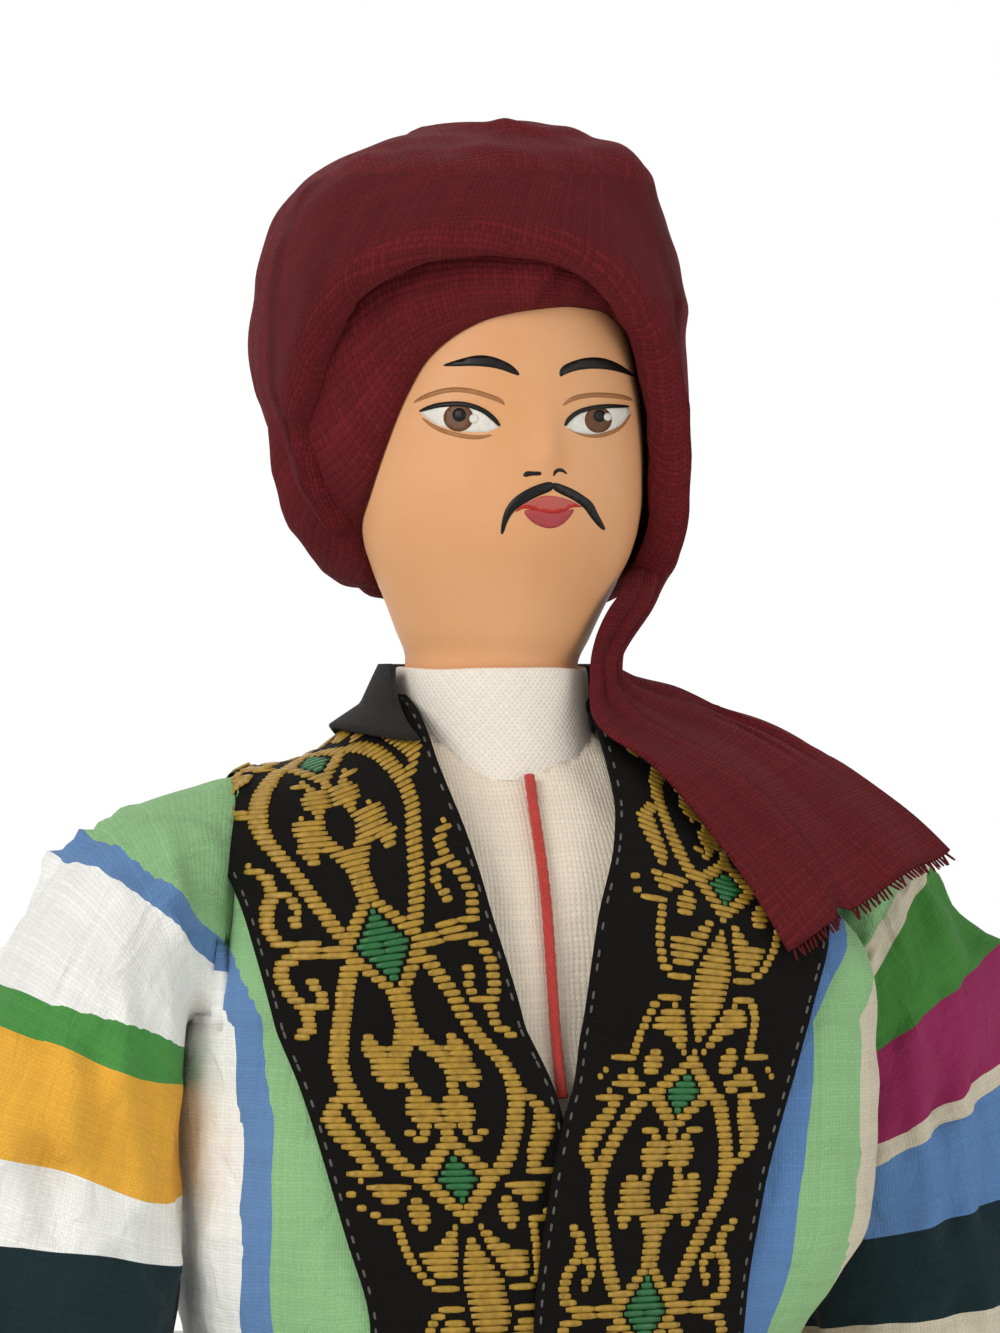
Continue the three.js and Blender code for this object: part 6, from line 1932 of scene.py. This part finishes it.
@dataclass
class Neckwear:
    """The shirt with its stand collar and red placket cord, and the black band behind the neck."""

    collar_profile: tuple = ((13.2, 233.5), (12.9, 235.2), (12.3, 238), (11.75, 241.5), (11.45, 244.6),
                             (11.35, 246), (11.1, 246.6), (10.75, 246.5), (10.6, 246), (10.6, 241),
                             (10.8, 237), (11, 233.5))
    cord_route: Table = Table([(0, 528.5, 779), (1, 532, 806), (2, 539, 856), (3, 544, 900), (4, 550, 980),
                               (5, 556, 1058), (6, 560, 1100)])
    cord_radius: float = 0.66
    band_ends: tuple[float, float] = (44.0, 77.0)

    def collar(self) -> None:
        """Builds the stand collar, a folded bias strip round the neck."""
        turns = around(144)
        profile = np.array([*self.collar_profile, self.collar_profile[0]])
        radius = profile[:, :1]
        grid = Grid(at_heights(radius * np.cos(turns), radius * np.sin(turns), profile[:, 1]), wraps=True)
        points = grid.points.copy()
        outside = (np.arange(len(profile)) < 7)[:, None]
        grid.points[..., :2] *= (1 + outside * 0.007 * waves(points, 9, 91))[..., None]
        grid.points[..., 2] += 0.15 * waves(points * [1, 1, 0.1], 14, 92)
        piece = welded(grid.build("collar_cotton"))
        smoother = piece.modifiers.new("rounded", "SUBSURF")
        smoother.levels = smoother.render_levels = 1
        place(piece, FINISH.collar, "collar_cotton", Body.FIGURE, "shirt_collar", flat=(0.078, 0.027),
              held=Held.FOLDED, rests_on=("shirt_body",))

    def shirt(self) -> BVHTree:
        """Builds the shirt's body, which shows between the coat's fronts, and gives its surface.

        Returns:
            The surface.
        """
        heights = np.concatenate([np.linspace(138, FORM.chest, 46),
                                  np.linspace(FORM.chest, FORM.top, 34)[1:]])
        grid = Grid(FORM.at(around(220, -math.pi), heights[:, None]), wraps=True)
        points = grid.points
        fade = (1 - smooth(226, 238, heights))[:, None]
        grid.push(-2.0 + fade * (0.3 * waves(points * [1, 1, 0.6], 16, 95) + 0.1 * waves(points, 6, 96)))
        across, ahead, _ = np.moveaxis(grid.middles(), -1, 0)
        grid.keep = np.hypot(across, ahead) > 12.6
        piece = welded(grid.build("shirt_cotton"))
        surface = surface_of(piece)
        place(thicken(piece, 0.5), FINISH.shirt, "shirt_cotton", Body.FIGURE, "shirt_body",
              flat=(0.21, 0.115), rests_on=("torso_padding",))
        return surface

    def placket_cord(self, shirt: BVHTree) -> None:
        """Lays the twisted red cord down the placket, sewn on along its length.

        Args:
            shirt: the shirt's surface.
        """
        hits = (CAMERA.hit(self.cord_route(k), shirt) for k in np.linspace(0, 6, 130))
        spots = np.array([np.array(hit[0]) / MM + np.array(hit[1]) * self.cord_radius for hit in hits if hit])
        kernel = np.ones(5) / 5
        route = np.stack([np.convolve(np.pad(spots[:, k], 2, mode="edge"), kernel, "valid")
                          for k in range(3)], -1)
        run = unit(np.gradient(route, axis=0))
        side = unit(np.cross(run, [0, -1.0, 0]))
        face = np.cross(side, run)
        turns = around(14)
        twist = 2 * turns - lengths(route)[:, None] * RING / 1.6
        radius = self.cord_radius * (0.95 + 0.05 * np.cos(twist))[..., None]
        round_it = np.cos(turns)[:, None] * side[:, None] + np.sin(turns)[:, None] * face[:, None]
        grid = Grid(route[:, None] + radius * round_it, wraps=True, caps=True)
        grid.face_away(5, route[5])
        place(grid.build("placket_cord"), FINISH.cord, "red_cord", Body.FIGURE, "placket_piping")

    def band(self) -> None:
        """Folds the black band round the back of the neck."""
        shares, columns = np.linspace(0, 1, 14)[:, None], np.linspace(0, 1, 121)
        first, last = self.band_ends
        reach = first + (last - first) * shares
        azimuth = np.radians(reach + (360 - 2 * reach) * columns)
        radius = 17.6 - 4.8 * shares
        points = at_heights(radius * np.sin(azimuth), -radius * np.cos(azimuth), 237.4 + 9.3 * shares[:, 0])
        points[..., :2] *= (1 + 0.012 * waves(points, 12, 97))[..., None]
        grid = Grid(clear_of_covers(points, 0.9))
        place(thicken(grid.build("neck_band_cotton"), 0.7, inwards=False), FINISH.neck_band,
              "neck_band_cloth", Body.FIGURE, "neck_band", flat=(0.078, 0.0105), held=Held.FOLDED)

    def build(self) -> None:
        """Builds the shirt, its collar and cord, and the band."""
        shirt = self.shirt()
        self.collar()
        self.placket_cord(shirt)
        self.band()


@dataclass
class Sash:
    """The wool sash round the waist, with its knot and two hanging tails."""

    low: float = 150.5
    high: float = 163.5
    out: float = 2.2
    tail_top: float = 151.0
    tails: tuple = (("right", -3.4, 116.4, -1.2), ("left", 11.4, 112.0, 1.4))

    def band(self) -> None:
        """Winds the pleated band."""
        turns, shares = around(256, -math.pi), np.linspace(0, 1, 40)[:, None]
        grid = Grid(FORM.at(turns, self.low + (self.high - self.low) * shares), wraps=True)
        slant = shares * 4.3 + 0.18 * np.sin(2 * turns + 1) + 0.1 * np.sin(5 * turns)
        pleats = np.abs(np.sin(math.pi * slant))
        bow = np.sin(math.pi * shares) ** 0.5
        grid.push(self.out * (0.75 + 0.25 * bow) + 0.75 * pleats * bow + 0.12 * waves(grid.points, 8, 101))
        place(thicken(grid.build("sash_band_wool"), 0.9), FINISH.sash, "sash_wool", Body.FIGURE, "sash_band",
              flat=(0.245, 0.017), held=Held.FOLDED)

    def knot(self) -> None:
        """Ties the knot, a tight rounded wrap of pleats."""
        low, high = (np.array(corner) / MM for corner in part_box("sash_knot"))
        centre, half = (low + high) / 2, (high - low) / 2
        turns, rises = around(96), np.linspace(-math.pi / 2 + 0.02, math.pi / 2 - 0.02, 49)
        cos = np.cos(rises)[:, None]
        ball = at_heights(cos * np.cos(turns), cos * np.sin(turns), np.sin(rises))
        pleats = 0.06 * np.abs(np.sin(4 * rises[:, None] + 1.2 * np.cos(turns)))
        piece = Grid(centre + ball * half * (0.93 + pleats)[..., None], wraps=True, caps=True)
        place(piece.build("sash_knot_wool"), FINISH.sash, "sash_wool", Body.FIGURE, "sash_knot")

    def tail(self, side: str, middle: float, foot: float, drift: float) -> None:
        """Hangs one tail from the knot, folded at the top and open at its fringed foot.

        Args:
            side: "left" or "right".
            middle: the way across of its middle.
            foot: the height of its lower end.
            drift: how far it curves to the doll's left on its way down.
        """
        heights = np.linspace(foot, self.tail_top, 60)
        shares = np.linspace(-1, 1, 25)
        fall = ((self.tail_top - heights) / (self.tail_top - foot))[:, None]
        half = 3.4 + 2.9 * fall ** 0.7
        across = middle * (0.35 + 0.65 * fall) + 2.6 * (1 - fall) + drift * fall ** 2 + half * shares
        grid = Grid(FORM.at(FORM.turn_of(across, heights), heights[:, None]))
        folds = np.cos(shares * math.pi * 2.5 + 0.6 * fall) * (0.75 - 0.3 * fall)
        grid.push(3.1 + folds + 1.1 * (1 - fall) + 0.2 * waves(grid.points, 9, 103))
        ends, ups, run = grid.points[0], grid.normals()[0], grid.points[0] - grid.points[2]
        place(thicken(grid.build(f"sash_tail_wool_{side}"), 0.6), FINISH.sash, "sash_wool", Body.FIGURE,
              f"sash_tail_{side}", flat=(0.013, 0.037))
        fringe = Threads()
        draw = np.random.default_rng(12)
        for index in np.linspace(0.4, 23.6, 30):
            k = int(index)
            root = ends[k] + (ends[k + 1] - ends[k]) * (index - k) - ups[k] * 0.3
            fringe.fray(root, ups[k], run[k], (1.7, 0.3), 1.6, 0.1, draw)
        fringe.build(f"sash_fringe_{side}", 0.4, 0.4, FINISH.sash, "sash_wool")

    def build(self) -> None:
        """Ties the sash."""
        self.band()
        self.knot()
        for tail in self.tails:
            self.tail(*tail)


@dataclass
class Legs:
    """The trousers, the boots with their soles, and the turned base."""

    stance: float = 11.5
    boot_rows: tuple = ((12.3, -26.4, 9.8, 6.6), (13.2, -26.9, 10.2, 7), (16, -26.8, 10.2, 7.1),
                        (19.5, -25, 10, 7), (23, -20.6, 9.7, 6.9), (27, -15, 9.3, 7.1), (32, -11, 9.1, 7.6),
                        (40, -9.3, 9.3, 8.4), (55, -9.4, 9.8, 9), (72, -9.8, 10, 9.3), (84, -9.9, 10.1, 9.5))
    base_profile: tuple = ((0.02, 0), (44, 0), (45.2, 0.35), (45.9, 1.3), (46, 2.4), (45.3, 3.2),
                           (45.1, 3.9), (45.5, 4.7), (45.9, 6), (45.6, 7.8), (44.6, 9.2), (43, 9.85),
                           (41.5, 10), (0.02, 10))
    sole_rows: tuple = ((10.3, -0.35), (10.45, -0.05), (10.8, 0.25), (11.3, 0.3), (11.8, 0.1), (12, -0.2))
    leg_swell: tuple = ((84, 88, 96, 110, 124, 128.6), (7.6, 9.4, 10.8, 11.2, 11, 10.4))

    def ring(self, side: int, front: Array, back: Array, half: Array,
             turns: Array) -> tuple[Array, Array]:
        """Gives a foot-shaped ring, narrower at the toe.

        Args:
            side: 1 for the doll's left and -1 for its right.
            front: the y of the toe.
            back: the y of the heel.
            half: the half width.
            turns: the angles round the ring.

        Returns:
            The x and y of its points.
        """
        x, y = squared(turns)
        heel = back - half * 1.05
        long = np.clip((heel - front) / half - 1, 0, 2.2) / 2.2
        ahead = np.clip(-np.sin(turns), 0, 1)
        taper = 1 - 0.16 * long * ahead + 0.1 * long * np.sin(math.pi * np.clip(ahead * 1.2, 0, 1))
        inward = -side * 0.7 * long * ahead ** 2
        reach = np.where(y < 0, heel - front, back - heel)
        return side * self.stance + half * x * taper + inward, heel + reach * y

    def boot(self, side: int) -> None:
        """Builds one soft boot with its welt of stitches, and its sole.

        Args:
            side: 1 for the doll's left and -1 for its right.
        """
        name = SIDES[side]
        heights = np.concatenate([np.linspace(12.3, 30, 26), np.linspace(30, 84, 52)[1:]])
        turns = around(96)
        front, back, half = np.moveaxis(Table(self.boot_rows)(heights), -1, 0)[..., None]
        grid = Grid(at_heights(*self.ring(side, front, back, half, turns), heights), wraps=True, caps=True)
        points = grid.points
        slack = (smooth(26, 34, heights) * (1 - smooth(76, 84, heights)))[:, None]
        creases = np.sin(points[..., 2] / 3.1 + 0.8 * np.sin(turns) + 0.3 * waves(points, 15, 111 + side))
        grid.push(slack * (0.28 * creases + 0.25 * waves(points, 12, 113 + side)) - 0.1)
        place(grid.build(f"boot_leather_{name}"), FINISH.leather, "boot_leather", Body.FIGURE, f"boot_{name}")
        seam = Threads()
        edge = self.ring(side, np.array(-26.95), np.array(10.25), np.array(7.12), around(59))
        welt = np.stack([*edge, np.full(59, 13.6)], -1)
        for spot, way in zip(welt, unit(np.roll(welt, -1, 0) - np.roll(welt, 1, 0))):
            seam.put(spot, np.array([way[1], -way[0], 0]), way, 0.55)
        seam.build(f"boot_stitches_{name}", 0.4, 0.35, FINISH.stitch, "boot_leather")
        levels, bulge = np.array(self.sole_rows).T
        bulge = bulge[:, None]
        sole = Grid(at_heights(*self.ring(side, -26.3 - bulge, 10.1 + bulge, 6.75 + bulge, turns), levels),
                    wraps=True, caps=True)
        place(sole.build(f"sole_leather_{name}"), FINISH.sole, "sole_leather", Body.FIGURE,
              f"boot_sole_{name}")

    def trousers(self) -> None:
        """Builds the full trousers, gathered into the boots."""
        turns, heights = around(96), np.linspace(84.4, 128.6, 44)
        swell = np.interp(heights, *self.leg_swell)[:, None]
        parts = []
        for side in (-1, 1):
            grid = Grid(at_heights(side * 11.3 + swell * np.cos(turns), swell * np.sin(turns), heights),
                        wraps=True)
            gather = np.cos(11 * turns + side) * (1 - smooth(86, 112, heights))[:, None]
            grid.push(0.35 * gather + 0.3 * waves(grid.points, 12, 121 + side) - 0.5)
            parts.append(grid.build(f"trouser_leg_{side}"))
        place(thicken(joined("trousers_cotton", parts), 0.5), FINISH.trousers, "trouser_cotton", Body.FIGURE,
              "trousers", flat=(0.14, 0.05), held=Held.GATHERED, rests_on=("boot_left", "boot_right"))

    def base(self) -> None:
        """Turns the base from a beech disc, with a small cove round its edge."""
        profile, turns = np.array(self.base_profile), around(192)
        way = lengths(profile)
        keys = np.unique(np.concatenate([way, np.linspace(0, 1, 70) * way[-1]]))
        radius, heights = (np.interp(keys, way, column) for column in profile.T)
        points = at_heights(radius[:, None] * np.cos(turns), radius[:, None] * np.sin(turns), heights)
        piece = Grid(points, wraps=True, caps=True).build("turned_base")
        place(piece, FINISH.beech, "varnished_wood", Body.FIGURE, "base_disc")

    def build(self) -> None:
        """Builds the legs' clothes and the base."""
        for side in (-1, 1):
            self.boot(side)
        self.trousers()
        self.base()


@dataclass
class Insides:
    """What the clothes hide: padding, core, dowels, wire, arms and the hands below the cuffs."""

    low: float = 135.5
    high: float = 205.5
    carved: float = 0.45

    def padding(self) -> None:
        """Packs the cotton wadding round the core."""
        heights = np.linspace(self.low, self.high, 46)[:, None]
        grid = Grid(FORM.at(around(120, -math.pi), heights), wraps=True, caps=True)
        ends = np.minimum(1, np.minimum(heights - self.low, self.high - heights) / 5)
        grid.push(-3.9 - 3.0 * (1 - np.sqrt(1 - (1 - ends) ** 2)) + 0.35 * waves(grid.points, 13, 131))
        piece = grid.build("wadding_pad")
        place(piece, FINISH.wadding, "wadding", Body.FIGURE, "torso_padding")

    def hand(self, side: str) -> None:
        """Smooths one carved hand and paints it.

        Args:
            side: 1 for the doll's left and -1 for its right.
        """
        piece = mesh_piece(f"carved_hand_{side}", np.zeros((0, 3)), [])
        shape = bmesh.new()
        shape.from_mesh(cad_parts[f"hand_{side}"].data)
        bmesh.ops.remove_doubles(shape, verts=shape.verts, dist=1e-6)
        shape.to_mesh(piece.data)
        shape.free()
        remesh = piece.modifiers.new("carved", "REMESH")
        remesh.mode = "VOXEL"
        remesh.voxel_size = self.carved * MM
        remesh.use_smooth_shade = True
        rubbed = piece.modifiers.new("rubbed", "SMOOTH")
        rubbed.factor = 0.5
        rubbed.iterations = 5
        arm = Body.LEFT_ARM if side == "left" else Body.RIGHT_ARM
        place(settled(piece), FINISH.skin, "painted_wood", arm, f"hand_{side}")

    @staticmethod
    def carried() -> None:
        """Dresses the hidden wood and wire that keep their shapes."""
        wood = ("torso_core", "neck_dowel", "leg_dowel_left", "leg_dowel_right", "arm_left", "arm_right")
        for name in (*wood, "shoulder_wire"):
            finish = FINISH.bare_wood if name in wood else FINISH.steel
            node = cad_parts[name]
            if not node.material_slots:
                node.data.materials.append(finish.make())
            for holder in node.material_slots:
                holder.material = finish.make()
            LOG.info("%s: dressed", name)

    def build(self) -> None:
        """Builds the padding and hands, and dresses the rest."""
        self.padding()
        for side in ("left", "right"):
            self.hand(side)
        self.carried()


@dataclass
class Studio:
    """A plain pale floor, a white surround and soft lights."""

    floor_radius: float = 1.3
    world: float = 0.45
    lights: tuple = (((-0.6, 0.65, 0.4), 0.5, 4.5), ((0.8, 0.5, 0.1), 0.6, 2.0),
                     ((-0.1, -0.8, 0.6), 0.5, 2.4))

    def floor(self) -> None:
        """Lays the floor, which keeps the doll's shadow."""
        ring = np.stack([np.cos(around(96)), np.sin(around(96)), np.zeros(96)], -1) * self.floor_radius / MM
        piece = mesh_piece("floor", ring, [list(range(len(ring)))], flat=True)
        # Pale, dry floor paper.
        material, node = new_finish("pale_floor")
        shader = node("BsdfPrincipled", {"Base Color": colour("#F4F4F2"), "Roughness": 0.9})
        node("OutputMaterial", [shader])
        piece.data.materials.append(material)

    def surround(self) -> None:
        """Sets the world: soft light everywhere, white to the camera and in reflections."""
        world = bpy.data.worlds.new("surround")
        bpy.context.scene.world = world
        world.use_nodes = True
        tree = world.node_tree
        tree.nodes.clear()
        node = partial(add, tree)
        path = node("LightPath").outputs
        direct = node("Math", [path["Is Camera Ray"], path["Is Glossy Ray"]], "MAXIMUM")
        seen = node("Math", [direct, path["Is Transmission Ray"]], "MAXIMUM")
        level = node("MapRange", {0: seen, 3: self.world, 4: 1.0})
        back = node("Background", {"Color": (1, 1, 1, 1), "Strength": level})
        node("OutputWorld", [back])

    def lamps(self) -> None:
        """Hangs the soft lamps round the camera's side of the doll."""
        aim = Vector((0, 0, 0.23))
        for index, ((across, near, up), size, power) in enumerate(self.lights):
            data = bpy.data.lights.new(f"lamp_{index}", "AREA")
            data.size = size
            data.energy = power
            lamp = bpy.data.objects.new(f"lamp_{index}", data)
            spot = Vector(CAMERA.right * across + CAMERA.near * near) + Vector((0, 0, up)) + aim
            lamp.location = spot
            lamp.rotation_euler = (aim - spot).to_track_quat("-Z", "Y").to_euler()
            bpy.context.scene.collection.objects.link(lamp)

    def build(self) -> None:
        """Sets up the floor, the surround, the lamps and the view's transform."""
        self.floor()
        self.surround()
        self.lamps()
        bpy.context.scene.view_settings.view_transform = "Standard"


def main() -> None:
    """Builds the doll from its inside out, then its stage."""
    logging.basicConfig(level=logging.INFO, format="%(name)s: %(message)s")
    CAMERA.make()
    Robe().build()
    for braid in BRAIDS.values():
        braid.build()
    Neckwear().build()
    HEAD.build()
    Turban().build()
    Sash().build()
    Legs().build()
    Insides().build()
    Studio().build()


if __name__ == "__main__":
    main()
